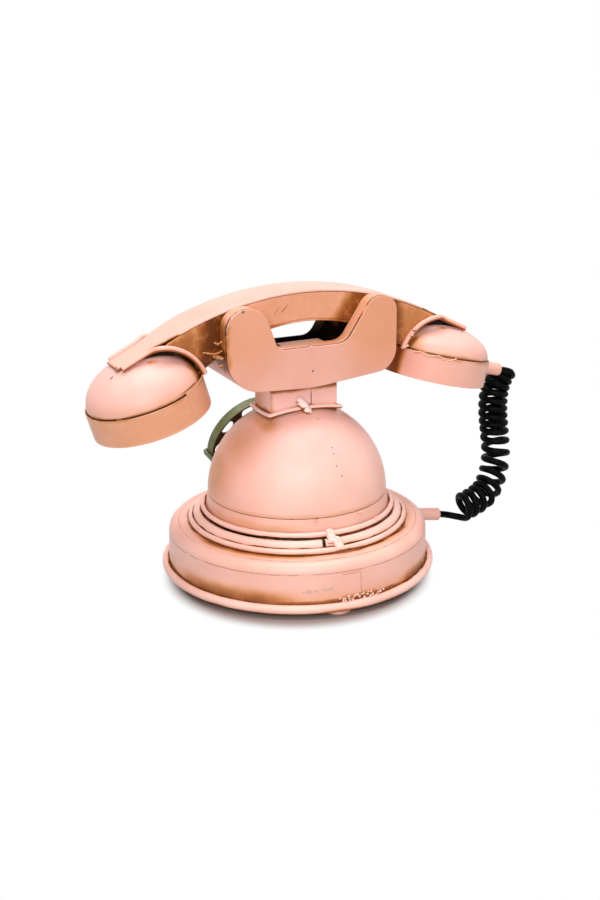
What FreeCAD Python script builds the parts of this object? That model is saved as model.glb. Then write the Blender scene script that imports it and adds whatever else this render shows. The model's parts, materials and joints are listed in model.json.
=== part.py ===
import FreeCAD, Part
import math
import os

import Sketcher
from FreeCAD import Placement, Rotation, Vector

# A cradle telephone ornament bent and welded from tinplate.
# Frame: origin under the middle of the drum on the table, Z up, X along the handset with the
# earpiece at +X, the dial toward -Y. Millimetres and degrees.

DIMENSIONS = (
    ("sheet_gauge", 0.8, "thickness of the tinplate"),
    ("joint_gap", 0.05, "clearance left at a seam between two pieces"),
    ("shaft_gap", 0.05, "radial clearance of the stud in its holes"),
    ("run_gap", 0.5, "side clearance of the handle between the cradle edges"),
    ("rest_gap", 0.1, "clearance between the handle and the strip it rests on"),
    ("foot_height", 4.4, "height of a foot"),
    ("foot_top_radius", 3.2, "foot radius at the base plate"),
    ("foot_bottom_radius", 5.5, "foot radius at the table"),
    ("foot_inset", 5.0, "middle of a foot inside the drum wall"),
    ("foot_first_angle", 83.0, "direction of the foot at the rear"),
    ("foot_step_angle", 120.0, "angle between two feet"),
    ("base_radius", 50.6, "drum radius at the foot"),
    ("band_taper", 0.35, "drum radius lost from the foot to the shoulder"),
    ("band_height", 11.4, "height of the drum wall"),
    ("rim_wire_radius", 1.65, "wire round the foot of the drum"),
    ("rim_wire_drop", 1.1, "rim wire centre below the top of the feet"),
    ("rim_wire_overhang", 1.1, "rim wire centre outside the drum wall"),
    ("shoulder_round", 3.85, "rounding between the drum wall and the deck"),
    ("deck_top_radius", 36.4, "radius where the deck meets the collar"),
    ("deck_rise", 0.7, "height of the deck"),
    ("deck_land", 2.0, "level edge of the deck under the collar"),
    ("hoop_reach", 2.2, "middle of the split hoop outside the foot of the collar"),
    ("hoop_tube_radius", 2.0, "wire of the split hoop"),
    ("hoop_slit", 1.8, "opening of the split hoop in degrees"),
    ("hoop_slit_angle", 79.0, "direction of the slit"),
    ("outer_wire_radius", 1.05, "wire outside the hoop"),
    ("inner_wire_radius", 1.0, "wire above the hoop"),
    ("inner_wire_air", 0.85, "clear height between the hoop and the wire above it"),
    ("outer_tab_angle", 86.5, "direction of the tab over hoop and outer wire"),
    ("inner_tab_angle", 83.5, "direction of the tab over hoop and inner wire"),
    ("tab_width", 3.4, "width of a weld tab"),
    ("tab_length", 5.4, "length of a weld tab"),
    ("tab_thickness", 0.9, "thickness of a weld tab"),
    ("collar_height", 10.6, "height of the collar"),
    ("dome_radius", 34.7, "radius of the dome"),
    ("neck_width", 27.4, "neck size along X"),
    ("neck_depth", 15.6, "neck size along Y"),
    ("neck_rise", 9.5, "cradle bottom above the top of the dome"),
    ("neck_wire_radius", 0.85, "wire round the foot of the neck"),
    ("neck_wire_lift", 2.9, "wire centre above the dome at the corners"),
    ("neck_tab_shift", 0.9, "weld tab of the neck from the middle"),
    ("neck_tab_angle", 53.0, "lean of the weld tab over the neck wire"),
    ("cradle_half_width", 34.2, "half of the cradle along X"),
    ("cradle_depth", 33.2, "cradle over both plates"),
    ("horn_height", 31.7, "top of the rear horns above the cradle bottom"),
    ("front_horn_drop", 2.6, "top of the front horns below the rear ones"),
    ("rear_seat_height", 15.5, "floor of the rear notch above the cradle bottom"),
    ("front_seat_height", 12.1, "floor of the front notch above the cradle bottom"),
    ("near_corner_rise", 1.6, "lower corner at +X above the cradle bottom"),
    ("near_corner_radius", 13.4, "rounding of the lower corner at +X"),
    ("far_corner_rise", 3.6, "lower corner at -X above the cradle bottom"),
    ("far_corner_radius", 8.7, "rounding of the lower corner at -X"),
    ("near_horn_inner", 19.9, "inner top of the horn at +X"),
    ("near_horn_radius", 7.6, "rounding of the horn at +X"),
    ("far_horn_inner", 23.9, "inner top of the horn at -X"),
    ("far_horn_radius", 6.0, "rounding of the horn at -X"),
    ("near_seat_edge", 14.2, "notch floor end at +X"),
    ("near_seat_radius", 4.0, "rounding of the notch at +X"),
    ("far_seat_edge", 13.2, "notch floor end at -X"),
    ("far_seat_radius", 6.0, "rounding of the notch at -X"),
    ("cradle_belly_radius", 60.0, "rounding of the cradle bottom over the neck"),
    ("seat_strip_depth", 11.0, "width of the strip along the notch floor"),
    ("seat_end_height", 14.0, "ends of the bottom strip above the cradle bottom"),
    ("handle_width", 19.0, "handle across its sides"),
    ("handle_top_radius", 116.5, "curve of the handle's top strip"),
    ("handle_under_radius", 67.0, "curve of the handle's underside"),
    ("handle_depth", 11.4, "handle thickness at the crown"),
    ("tongue_angle", 26.57, "slope of the tongues"),
    ("tongue_length", 21.8, "straight run of a tongue"),
    ("tongue_width", 12.0, "width of a tongue"),
    ("tongue_taper_start", 4.5, "start of the narrowing before the tongue's bend"),
    ("tongue_taper_end", 7.9, "end of the narrowing past the tongue's bend"),
    ("side_past_bend", 2.1, "handle sides past the tongue's bend before the arch is cut"),
    ("under_before_bend", 8.1, "handle underside short of the tongue's bend before the caps are cut"),
    ("cap_dome_radius", 21.3, "radius of a cap's dome"),
    ("cap_skirt", 2.5, "skirt of a cap's dome inside the band"),
    ("cap_band_height", 10.45, "height of a cap's band"),
    ("earpiece_offset", 8.1, "earpiece centre past the tongue's bend"),
    ("earpiece_tilt", 16.2, "lean of the earpiece"),
    ("earpiece_dome_height", 14.0, "height of the earpiece dome"),
    ("mouthpiece_offset", 8.9, "mouthpiece centre past the tongue's bend"),
    ("mouthpiece_tilt", 13.8, "lean of the mouthpiece"),
    ("mouthpiece_dome_height", 10.8, "height of the mouthpiece dome"),
    ("face_recess", 1.6, "closing disc behind the band's mouth"),
    ("sound_hole_radius", 1.1, "sound hole in a closing disc"),
    ("sound_ring_radius", 8.5, "ring of sound holes"),
    ("sound_hole_count", 8, "sound holes in the ring"),
    ("bead_wire_radius", 1.0, "wire along the ends of the handle sides"),
    ("bead_arch_radius", 17.3, "arch of the handle side over a cap"),
    ("bead_arch_offset", 4.4, "arch centre past the tongue's bend"),
    ("bead_arch_drop", 32.5, "arch centre below the crown of the handle"),
    ("bead_foot_angle", 158.0, "where the bead wire starts on the arch"),
    ("bead_leave_angle", 98.0, "where the bead wire leaves the arch for the tongue"),
    ("bead_join", 9.4, "where the bead wire reaches the tongue past its bend"),
    ("bead_tongue_gap", 0.6, "clearance between bead wire and tongue"),
    ("bead_tip_inset", 1.6, "end of the bead wire before the tongue's tip"),
    ("dial_radius", 17.8, "finger wheel"),
    ("dial_rim_depth", 3.6, "rim of the finger wheel"),
    ("dial_tilt", 23.2, "dial axis above the level"),
    ("dial_turn", 14.5, "dial axis turned toward +X"),
    ("finger_hole_radius", 2.9, "finger hole"),
    ("finger_ring_radius", 11.8, "ring of finger holes"),
    ("finger_hole_count", 7, "finger holes"),
    ("finger_first_angle", 30.0, "direction of the first finger hole"),
    ("stud_radius", 2.0, "dial stud"),
    ("stud_head_radius", 4.4, "head of the dial stud"),
    ("stud_head_height", 1.5, "head height of the dial stud"),
    ("washer_radius", 4.6, "washer between dial and dome"),
    ("washer_thickness", 0.8, "washer thickness"),
    ("nut_radius", 4.0, "nut over its corners"),
    ("nut_height", 3.0, "nut height"),
    ("stud_tail", 1.0, "stud end past the nut"),
    ("stop_angle", -18.0, "direction of the finger stop"),
    ("stop_width", 2.4, "width of the finger stop"),
    ("stop_thickness", 0.7, "thickness of the finger stop"),
    ("stop_reach", 3.6, "how far the stop reaches over the wheel"),
    ("stop_gap", 0.35, "clearance between stop and wheel"),
    ("cord_radius", 1.38, "radius of the cord's wire"),
    ("ferrule_radius", 2.55, "radius of a cord ferrule"),
    ("ferrule_bore_depth", 2.0, "depth of the ferrule's mouth"),
    ("ferrule_bore_gap", 0.35, "clearance round the cord in the ferrule's mouth"),
    ("handset_ferrule_length", 10.3, "handset ferrule outside the band"),
    ("handset_ferrule_drop", 4.4, "handset ferrule below the band's top"),
    ("base_ferrule_reach", 64.2, "end of the base ferrule along X"),
    ("base_ferrule_height", 8.9, "end of the base ferrule above the table"),
    ("base_ferrule_dip", 9.5, "slope of the base ferrule"),
    ("curl_radius", 4.85, "radius of the curls to the middle of the wire"),
    ("curl_reach", 3.2, "cord past its straight end before the first curl"),
    ("curl_lead", 3.7, "pitch of the first curl under the ferrule"),
    ("curl_shift", 2.4, "second curl set back from the first"),
    ("curl_pitch", 3.3, "pitch of the upper curls"),
    ("curl_pitch_low", 6.0, "pitch of the curls above the bend"),
    ("curl_pitch_end", 3.5, "pitch of the last curls"),
    ("curl_even_part", 0.36, "share of the curls wound at the upper pitch"),
    ("curl_bow", 1.65, "bow of the curls' axis toward the base"),
    ("curl_lean_along", 3.3, "lean of the curls' axis along X down to the bend"),
    ("curl_lean_across", 5.45, "lean of the curls' axis along Y down to the bend"),
    ("curl_bend_height", 29.7, "start of the bend above the table"),
    ("curl_bend_radius", 19.0, "bend of the curls' axis near the table"),
    ("curl_bend_angle", 67.5, "turn of the curls' axis near the table"),
    ("curl_end_run", 7.4, "straight run of the curls' axis past the bend"),
    ("tail_lead", 3.4, "straight start of the tail in the base ferrule"),
    ("tail_run", 2.0, "second run of the tail along X"),
    ("tail_side", 0.25, "second run of the tail along Y"),
    ("tail_drop", 0.6, "fall of the tail's second run"),
)

doc = FreeCAD.newDocument("cradle_telephone")
sheet = doc.addObject("Spreadsheet::Sheet", "dims")
for row, (name, value, meaning) in enumerate(DIMENSIONS, start=1):
    sheet.set(f"A{row}", name)
    sheet.set(f"B{row}", str(value))
    sheet.set(f"C{row}", meaning)
    sheet.setAlias(f"B{row}", name)
doc.recompute()

UP = Vector(0, 0, 1)
ALONG = Vector(1, 0, 0)
ACROSS = Vector(0, 1, 0)
REAR = 1
FRONT = -1
EAR = 1
MOUTH = -1
OVERSHOOT = 1.0
ROUNDED_SHARE = 0.45
QUARTERS = 4
CHECK_STEP = 0.25
nodes = []


def dim(name):
    """Value of one dimension on the sheet."""
    return float(sheet.get(name))


def bind(item, **expressions):
    """Tie properties of an object to the sheet; two underscores stand for a dot."""
    for prop, expression in expressions.items():
        item.setExpression(prop.replace("__", "."), expression)
    return item


def primitive(kind, name, **expressions):
    """A primitive solid with its sizes tied to the sheet."""
    return bind(doc.addObject(f"Part::{kind}", name), **expressions)


def keep(item, node):
    """Register an object as the solid of one node."""
    item.Label = node
    nodes.append(item)
    return item


def cut(node, base, tool):
    """One solid less another."""
    item = doc.addObject("Part::Cut", node)
    item.Base = base
    item.Tool = tool
    return item


def feature(node, shape, placement=None):
    """A node whose solid is worked out from the sheet's values."""
    item = doc.addObject("Part::Feature", node)
    item.Shape = shape
    if placement is not None:
        item.Placement = placement
    return keep(item, node)


def solid(shape):
    """The single solid of a shape."""
    clean = shape.removeSplitter()
    return clean.Solids[0] if len(clean.Solids) == 1 else clean


def new_body(node, placement=None):
    """An empty body for one node."""
    body = doc.addObject("PartDesign::Body", node)
    if placement is not None:
        body.Placement = placement
    return keep(body, node)


def sketch_on(body, role, name):
    """A sketch on one of the body's own origin planes."""
    sketch = body.newObject("Sketcher::SketchObject", name)
    plane = next(item for item in body.Origin.OriginFeatures if item.Role == role)
    sketch.AttachmentSupport = [(plane, "")]
    sketch.MapMode = "FlatFace"
    return sketch


def add_circle(sketch, radius_expression, ring_expression=None, direction=0.0):
    """A circle in a sketch, in the middle or out on a ring, tied to the sheet."""
    ring = 10.0 if ring_expression else 0.0
    angle = math.radians(direction)
    centre = Vector(ring * math.cos(angle), ring * math.sin(angle), 0)
    index = sketch.addGeometry(Part.Circle(centre, UP, 1.0))
    if ring_expression:
        across = sketch.addConstraint(Sketcher.Constraint("DistanceX", -1, 1, index, 3, centre.x))
        upward = sketch.addConstraint(Sketcher.Constraint("DistanceY", -1, 1, index, 3, centre.y))
        sketch.setExpression(f"Constraints[{across}]", f"{ring_expression} * cos({direction})")
        sketch.setExpression(f"Constraints[{upward}]", f"{ring_expression} * sin({direction})")
    else:
        sketch.addConstraint(Sketcher.Constraint("Coincident", index, 3, -1, 1))
    radius = sketch.addConstraint(Sketcher.Constraint("Radius", index, 1.0))
    sketch.setExpression(f"Constraints[{radius}]", radius_expression)
    return index


def pad(body, sketch, length_expression, offset_expression=None):
    """Raise a sketch into a plate."""
    if offset_expression:
        sketch.setExpression("AttachmentOffset.Base.z", offset_expression)
    item = body.newObject("PartDesign::Pad", f"{body.Name}_pad")
    item.Profile = sketch
    item.setExpression("Length", length_expression)
    body.Tip = item
    doc.recompute()
    return item


def pocket_up(body, sketch, length_expression):
    """Cut a sketch upward through a body and see that it took material away."""
    before = body.Shape.Volume
    item = body.newObject("PartDesign::Pocket", f"{body.Name}_pocket")
    item.Profile = sketch
    item.Reversed = True
    item.setExpression("Length", length_expression)
    body.Tip = item
    doc.recompute()
    if body.Shape.Volume >= before:
        raise ValueError(f"pocket in {body.Label} removes nothing")
    return item


def ring_of(body, sketch, original, count_expression):
    """Repeat a pocket evenly round the axis of its sketch."""
    item = body.newObject("PartDesign::PolarPattern", f"{body.Name}_ring")
    item.Originals = [original]
    item.Axis = (sketch, ["N_Axis"])
    item.Angle = 360.0
    item.setExpression("Occurrences", count_expression)
    body.Tip = item
    doc.recompute()
    return item


def tube(edges, radius):
    """A round wire of one radius along joined edges."""
    path = Part.Wire(edges)
    start = edges[0].valueAt(edges[0].FirstParameter)
    heading = edges[0].tangentAt(edges[0].FirstParameter)
    profile = Part.Wire([Part.makeCircle(radius, start, heading)])
    return path.makePipeShell([profile], True, False)


def biarc(start, start_heading, end, end_heading):
    """Two arcs that leave one place and reach another in given directions."""
    across = end - start
    both = start_heading + end_heading
    a = 2 * (start_heading.dot(end_heading) - 1)
    b = -2 * across.dot(both)
    c = across.dot(across)
    reach = (-b - math.sqrt(b * b - 4 * a * c)) / (2 * a) if abs(a) > 1e-9 else -c / b
    first = start + start_heading * reach
    second = end - end_heading * reach
    joint = (first + second) * 0.5
    arcs = []
    for low, corner, high in ((start, first, joint), (joint, second, end)):
        back = (low - corner).normalize()
        ahead = (high - corner).normalize()
        half = back.getAngle(ahead) / 2
        if math.pi / 2 - half < 1e-6:
            arcs.append(Part.makeLine(low, high))
            continue
        bow = reach * math.tan(half)
        middle = corner + (back + ahead).normalize() * (bow / math.sin(half) - bow)
        arcs.append(Part.Arc(low, middle, high).toShape())
    return arcs


def rounded_outline(corners):
    """Closed outline in the XZ plane through (x, z, radius) corners, each rounded tangentially."""
    points = [Vector(x, 0, z) for x, z, _ in corners]
    count = len(points)
    arcs = []
    for index, (_, _, radius) in enumerate(corners):
        corner = points[index]
        back = (points[index - 1] - corner).normalize()
        ahead = (points[(index + 1) % count] - corner).normalize()
        half = back.getAngle(ahead) / 2
        reach = radius / math.tan(half)
        middle_line = (back + ahead).normalize()
        middle = corner + middle_line * (radius / math.sin(half) - radius)
        arcs.append((corner + back * reach, middle, corner + ahead * reach))
    edges = []
    for index, (start, middle, end) in enumerate(arcs):
        edges.append(Part.Arc(start, middle, end).toShape())
        edges.append(Part.makeLine(end, arcs[(index + 1) % count][0]))
    return Part.Wire(edges)


def prism(wire, y_start, y_end):
    """A closed XZ outline raised along Y between two places."""
    face = Part.Face(wire)
    face.translate(Vector(0, y_start, 0))
    return face.extrude(Vector(0, y_end - y_start, 0))


def span_box(x_low, x_high, y_low, y_high, z_low, z_high):
    """A box between two places along each axis."""
    corner = Vector(x_low, y_low, z_low)
    return Part.makeBox(x_high - x_low, y_high - y_low, z_high - z_low, corner)


def disc_across(x, z, radius, half_width):
    """A round bar along Y about a place in the XZ plane."""
    return Part.makeCylinder(radius, 2 * half_width, Vector(x, -half_width, z), ACROSS)


gauge = dim("sheet_gauge")
gap = dim("joint_gap")
rim_wire_height = dim("foot_height") - dim("rim_wire_drop")
band_foot = rim_wire_height + math.sqrt((dim("rim_wire_radius") + gap) ** 2 - dim("rim_wire_overhang") ** 2)
shoulder_foot = band_foot + dim("band_height")
deck_foot = shoulder_foot + dim("shoulder_round")
band_top_radius = dim("base_radius") - dim("band_taper")
deck_edge_radius = band_top_radius - dim("shoulder_round")
collar_foot = deck_foot + dim("deck_rise") + gap
dome_foot = collar_foot + dim("collar_height") + gap
dome_radius = dim("dome_radius")
dome_centre = Vector(0, 0, dome_foot)
cradle_foot = dome_foot + dome_radius + dim("neck_rise")

# Base: feet, plate, band, rim wire, shoulder and deck.
feet = []
for step in range(3):
    direction = f"(dims.foot_first_angle + {step} * dims.foot_step_angle)"
    feet.append(primitive(
        "Cone", f"foot_{step}",
        Radius1="dims.foot_bottom_radius", Radius2="dims.foot_top_radius", Height="dims.foot_height",
        Placement__Base__x=f"(dims.base_radius - dims.foot_inset) * cos({direction})",
        Placement__Base__y=f"(dims.base_radius - dims.foot_inset) * sin({direction})"))
feet_group = doc.addObject("Part::Compound", "base_feet")
feet_group.Links = feet
keep(feet_group, "base_feet")

plate_body = new_body("base_plate")
plate_sketch = sketch_on(plate_body, "XY_Plane", "base_plate_outline")
add_circle(plate_sketch, "dims.base_radius - dims.sheet_gauge - 3 * dims.joint_gap")
pad(plate_body, plate_sketch, "dims.sheet_gauge", "dims.foot_height")


def cone_shell(node, foot, low_radius, high_radius, rise):
    """A conical ring of sheet standing at a height, its wall measured level."""
    outer = primitive("Cone", f"{node}_outer", Radius1=low_radius, Radius2=high_radius, Height=rise)
    inner = primitive("Cone", f"{node}_inner", Radius1=f"{low_radius} - dims.sheet_gauge",
                      Radius2=f"{high_radius} - dims.sheet_gauge", Height=rise)
    ring = cut(node, outer, inner)
    bind(ring, Placement__Base__z=foot)
    return keep(ring, node)


RIM_WIRE_HEIGHT = "dims.foot_height - dims.rim_wire_drop"
BAND_FOOT = (f"{RIM_WIRE_HEIGHT} + sqrt(pow(dims.rim_wire_radius + dims.joint_gap; 2)"
             " - pow(dims.rim_wire_overhang; 2))")
SHOULDER_FOOT = f"{BAND_FOOT} + dims.band_height"
DECK_FOOT = f"{SHOULDER_FOOT} + dims.shoulder_round"
COLLAR_FOOT = f"{DECK_FOOT} + dims.deck_rise + dims.joint_gap"
DOME_FOOT = f"{COLLAR_FOOT} + dims.collar_height + dims.joint_gap"
BAND_TOP = "dims.base_radius - dims.band_taper"
SHOULDER_RING = f"{BAND_TOP} - dims.shoulder_round"
DECK_EDGE = f"{SHOULDER_RING} - dims.joint_gap"

cone_shell("base_band", BAND_FOOT, "dims.base_radius", BAND_TOP, "dims.band_height")
cone_shell("dome_collar", COLLAR_FOOT, "dims.deck_top_radius", "dims.dome_radius", "dims.collar_height")
keep(primitive("Torus", "base_rim_wire", Radius1="dims.base_radius + dims.rim_wire_overhang",
               Radius2="dims.rim_wire_radius", Placement__Base__z=RIM_WIRE_HEIGHT), "base_rim_wire")


def quarter_round(name, radius):
    """A ring with a quarter-round section, outward and upward from the shoulder's ring."""
    return primitive("Torus", name, Radius1=SHOULDER_RING, Radius2=radius, Angle1="-90", Angle2="0")


shoulder = cut("base_shoulder", quarter_round("shoulder_outer", "dims.shoulder_round"),
               quarter_round("shoulder_inner", "dims.shoulder_round - dims.sheet_gauge"))
bind(shoulder, Placement__Base__z=SHOULDER_FOOT)
keep(shoulder, "base_shoulder")


def deck_slope_block(name, foot):
    """The solid below the deck's sloping face, from a height upward."""
    return primitive("Cone", name, Radius1=DECK_EDGE, Radius2="dims.deck_top_radius",
                     Height="dims.deck_rise", Placement__Base__z=foot)


DECK_UNDER = f"{DECK_FOOT} - dims.sheet_gauge"
deck_block = doc.addObject("Part::Fuse", "deck_block")
deck_block.Base = deck_slope_block("deck_over", DECK_FOOT)
deck_block.Tool = primitive("Cylinder", "deck_edge", Radius=DECK_EDGE, Height="dims.sheet_gauge",
                            Placement__Base__z=DECK_UNDER)
deck_sheet = cut("deck_sheet", deck_block, deck_slope_block("deck_under", DECK_UNDER))
deck_mouth = primitive("Cylinder", "deck_mouth", Radius="dims.deck_top_radius - dims.deck_land",
                       Height="2 * dims.dome_radius")
keep(cut("base_deck", deck_sheet, deck_mouth), "base_deck")

# Hoop and wires: the outer wire lies against deck and hoop, the inner one on the collar above the hoop.
deck_slope = dim("deck_rise") / (deck_edge_radius - dim("deck_top_radius"))
deck_angle = math.atan(deck_slope)
hoop_ring_radius = dim("deck_top_radius") + dim("hoop_reach")
hoop_tube = dim("hoop_tube_radius")
outer_wire = dim("outer_wire_radius")
inner_wire = dim("inner_wire_radius")
deck_height = deck_foot + (deck_edge_radius - hoop_ring_radius) * deck_slope
hoop_at = Vector(hoop_ring_radius, 0, deck_height + (hoop_tube + gap) / math.cos(deck_angle))
deck_out = Vector(math.cos(deck_angle), 0, -math.sin(deck_angle))
deck_up = Vector(math.sin(deck_angle), 0, math.cos(deck_angle))
outer_step = math.sqrt((hoop_tube + outer_wire + gap) ** 2 - (hoop_tube - outer_wire) ** 2)
outer_at = hoop_at + deck_out * outer_step - deck_up * (hoop_tube - outer_wire)
collar_base = Vector(dim("deck_top_radius"), 0, collar_foot)
collar_up = Vector(dome_radius - dim("deck_top_radius"), 0, dim("collar_height")).normalize()
collar_out = Vector(collar_up.z, 0, -collar_up.x)
hoop_out = (hoop_at - collar_base).dot(collar_out)
inner_out = inner_wire + gap
inner_rise = math.sqrt((hoop_tube + inner_wire + dim("inner_wire_air")) ** 2 - (hoop_out - inner_out) ** 2)
inner_at = (collar_base + collar_up * ((hoop_at - collar_base).dot(collar_up) + inner_rise)
            + collar_out * inner_out)


def wire_ring(node, place, tube_radius):
    """A closed wire ring about Z through a place in the XZ plane."""
    ring = Part.makeTorus(place.x, tube_radius, Vector(0, 0, place.z), UP)
    return feature(node, ring)


wire_ring("outer_wire_ring", outer_at, outer_wire)
wire_ring("inner_wire_ring", inner_at, inner_wire)
hoop = primitive("Torus", "hoop_ring", Radius1="dims.deck_top_radius + dims.hoop_reach",
                 Radius2="dims.hoop_tube_radius", Angle3="360 - dims.hoop_slit")
hoop_turn = dim("hoop_slit_angle") + dim("hoop_slit") / 2
hoop.Placement = Placement(Vector(0, 0, hoop_at.z), Rotation(UP, hoop_turn))
keep(hoop, "hoop_ring")


def weld_tab(middle, heading, normal):
    """A flat rounded tab lying on a place, its length along a heading."""
    box = Part.makeBox(dim("tab_length"), dim("tab_width"), dim("tab_thickness"),
                       Vector(-dim("tab_length") / 2, -dim("tab_width") / 2, gap))
    rounded = box.makeFillet(dim("tab_thickness") * ROUNDED_SHARE, box.Edges)
    rounded.Placement = Placement(middle, Rotation(heading, normal.cross(heading), normal, "ZXY"))
    return rounded


def tab_over(low, low_radius, high, high_radius, direction):
    """A tab lying across two wires on their outer side."""
    line = high - low
    along = Vector(line.x, 0, line.z).normalize()
    side = Vector(along.z, 0, -along.x)
    lean = (low_radius - high_radius) / line.Length
    normal = along * lean + side * math.sqrt(1 - lean * lean)
    middle = (low + normal * low_radius + high + normal * high_radius) * 0.5
    tab = weld_tab(middle, Vector(-normal.z, 0, normal.x), normal)
    tab.rotate(Vector(0, 0, 0), UP, direction)
    return tab


tabs = [tab_over(outer_at, outer_wire, hoop_at, hoop_tube, dim("outer_tab_angle")),
        tab_over(hoop_at, hoop_tube, inner_at, inner_wire, dim("inner_tab_angle"))]
feature("hoop_tabs", Part.makeCompound(tabs))

# Dial frame: origin in the dome's centre, local Z along the dial's axis out of the dome.
dial_turned = Rotation(UP, dim("dial_turn")) * Rotation(ALONG, 90 - dim("dial_tilt"))
dial_frame = Placement(dome_centre, dial_turned)
stud_radius = dim("stud_radius")
stud_hole = stud_radius + dim("shaft_gap")
WHEEL_BACK = "dims.dome_radius + 2 * dims.joint_gap + dims.washer_thickness"
wheel_back = dome_radius + 2 * gap + dim("washer_thickness")
wheel_front = wheel_back + gauge

# Dome: half a ball of sheet with a hole for the stud.
dome_outer = primitive("Sphere", "dome_outer", Radius="dims.dome_radius", Angle1="0", Angle2="90")
dome_inner = primitive("Sphere", "dome_inner", Radius="dims.dome_radius - dims.sheet_gauge")
dome_bore = primitive("Cylinder", "dome_bore", Radius="dims.stud_radius + dims.shaft_gap",
                      Height="2 * dims.dome_radius")
dome_bore.Placement = Placement(Vector(0, 0, 0), dial_turned)
dome_hollow = cut("dome_hollow", dome_outer, dome_inner)
dome = cut("dome_shell", dome_hollow, dome_bore)
bind(dome, Placement__Base__z=DOME_FOOT)
keep(dome, "dome_shell")

# Cradle outline and the two forked plates.
half_cradle = dim("cradle_half_width")
cradle_side = dim("cradle_depth") / 2
plate_inside = cradle_side - gauge
rear_horn_top = cradle_foot + dim("horn_height")
front_horn_top = rear_horn_top - dim("front_horn_drop")
seat_end = cradle_foot + dim("seat_end_height")
near_corner = (half_cradle, cradle_foot + dim("near_corner_rise"), dim("near_corner_radius"))
far_corner = (-half_cradle, cradle_foot + dim("far_corner_rise"), dim("far_corner_radius"))
belly = (0, cradle_foot, dim("cradle_belly_radius"))


def fork_outline(seat_height, horn_top):
    """Outline of a forked plate by its notch floor above the cradle bottom and its horns' tops."""
    seat = cradle_foot + seat_height
    return rounded_outline((
        near_corner,
        (half_cradle, horn_top, dim("near_horn_radius")),
        (dim("near_horn_inner"), horn_top, dim("near_horn_radius")),
        (dim("near_seat_edge"), seat, dim("near_seat_radius")),
        (-dim("far_seat_edge"), seat, dim("far_seat_radius")),
        (-dim("far_horn_inner"), horn_top, dim("far_horn_radius")),
        (-half_cradle, horn_top, dim("far_horn_radius")),
        far_corner,
        belly))


def trough_outline():
    """Outline of the cradle without its notch, open above the horns."""
    above = rear_horn_top + OVERSHOOT
    return rounded_outline((
        near_corner, (half_cradle, above, gauge * 2), (-half_cradle, above, gauge * 2), far_corner, belly))


def wall_of(outline, half_depth):
    """The sheet's thickness along an outline, all the way across."""
    outer = prism(outline, -half_depth, half_depth)
    inner = prism(outline.makeOffset2D(-gauge), -half_depth, half_depth)
    return outer.cut(inner)


trough = wall_of(trough_outline(), plate_inside)
edge_inside = dim("handle_width") / 2 + dim("run_gap")
seat_inside = plate_inside - dim("seat_strip_depth")
forks = (("rear", REAR, dim("rear_seat_height"), rear_horn_top),
         ("front", FRONT, dim("front_seat_height"), front_horn_top))
for side_name, side, seat_height, horn_top in forks:
    outline = fork_outline(seat_height, horn_top)
    plate_faces = sorted((side * cradle_side, side * plate_inside))
    feature(f"cradle_{side_name}_plate", solid(prism(outline, *plate_faces)))
    seat = cradle_foot + seat_height
    edge_reach = sorted((side * edge_inside, side * plate_inside))
    seat_reach = sorted((side * seat_inside, side * plate_inside))
    upper = span_box(-half_cradle - OVERSHOOT, half_cradle + OVERSHOOT, *edge_reach,
                     seat_end + gap, horn_top + OVERSHOOT)
    notch = span_box(-dim("far_horn_inner"), dim("near_horn_inner"), *edge_reach,
                     cradle_foot + seat_height / 2, horn_top + OVERSHOOT)
    floor = span_box(dim("far_seat_radius") - dim("far_seat_edge"),
                     dim("near_seat_edge") - dim("near_seat_radius"), *seat_reach,
                     cradle_foot + seat_height / 2, seat + OVERSHOOT)
    edge = wall_of(outline, plate_inside).common(upper.fuse([notch, floor]))
    feature(f"cradle_{side_name}_edge", solid(edge))
below = span_box(-half_cradle - OVERSHOOT, half_cradle + OVERSHOOT, -plate_inside, plate_inside,
                 cradle_foot - OVERSHOOT, seat_end)
feature("cradle_bottom_strip", solid(trough.common(below)))

# Neck: a square tube between the dome and the cradle bottom, with a wire round its foot.
neck_half_width = dim("neck_width") / 2
neck_half_depth = dim("neck_depth") / 2
neck_outer = span_box(-neck_half_width, neck_half_width, -neck_half_depth, neck_half_depth,
                      dome_foot, cradle_foot + dim("seat_end_height"))
neck_inner = span_box(gauge - neck_half_width, neck_half_width - gauge, gauge - neck_half_depth,
                      neck_half_depth - gauge, dome_foot, cradle_foot + dim("seat_end_height"))
neck_foot = Part.makeSphere(dome_radius + gap, dome_centre)
neck_head = prism(trough_outline().makeOffset2D(gap), -cradle_side, cradle_side)
neck = neck_outer.cut(neck_inner).cut(neck_foot).cut(neck_head)
feature("neck_tube", solid(neck))

neck_wire = dim("neck_wire_radius")
wire_x = neck_half_width + neck_wire + gap
wire_y = neck_half_depth + neck_wire + gap


def over_dome(x, y, lift):
    """A place straight above the dome's surface."""
    return Vector(x, y, dome_foot + math.sqrt(dome_radius ** 2 - x * x - y * y) + lift)


def level_lift(x, y):
    """Lift that just clears the wire from the sloping dome at a place."""
    return (neck_wire + gap) * dome_radius / math.sqrt(dome_radius ** 2 - x * x - y * y)


wire_corners = [over_dome(x * wire_x, y * wire_y, dim("neck_wire_lift"))
                for x, y in ((1, 1), (-1, 1), (-1, -1), (1, -1))]
wire_middles = [over_dome(x, y, level_lift(x, y))
                for x, y in ((0, wire_y), (-wire_x, 0), (0, -wire_y), (wire_x, 0))]
wire_parts = []
for index, corner in enumerate(wire_corners):
    arc = Part.Arc(corner, wire_middles[index], wire_corners[(index + 1) % len(wire_corners)])
    wire_parts.append(tube([arc.toShape()], neck_wire))
    wire_parts.append(Part.makeSphere(neck_wire * 1.02, corner))
feature("neck_wire", solid(wire_parts[0].fuse(wire_parts[1:])))

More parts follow.
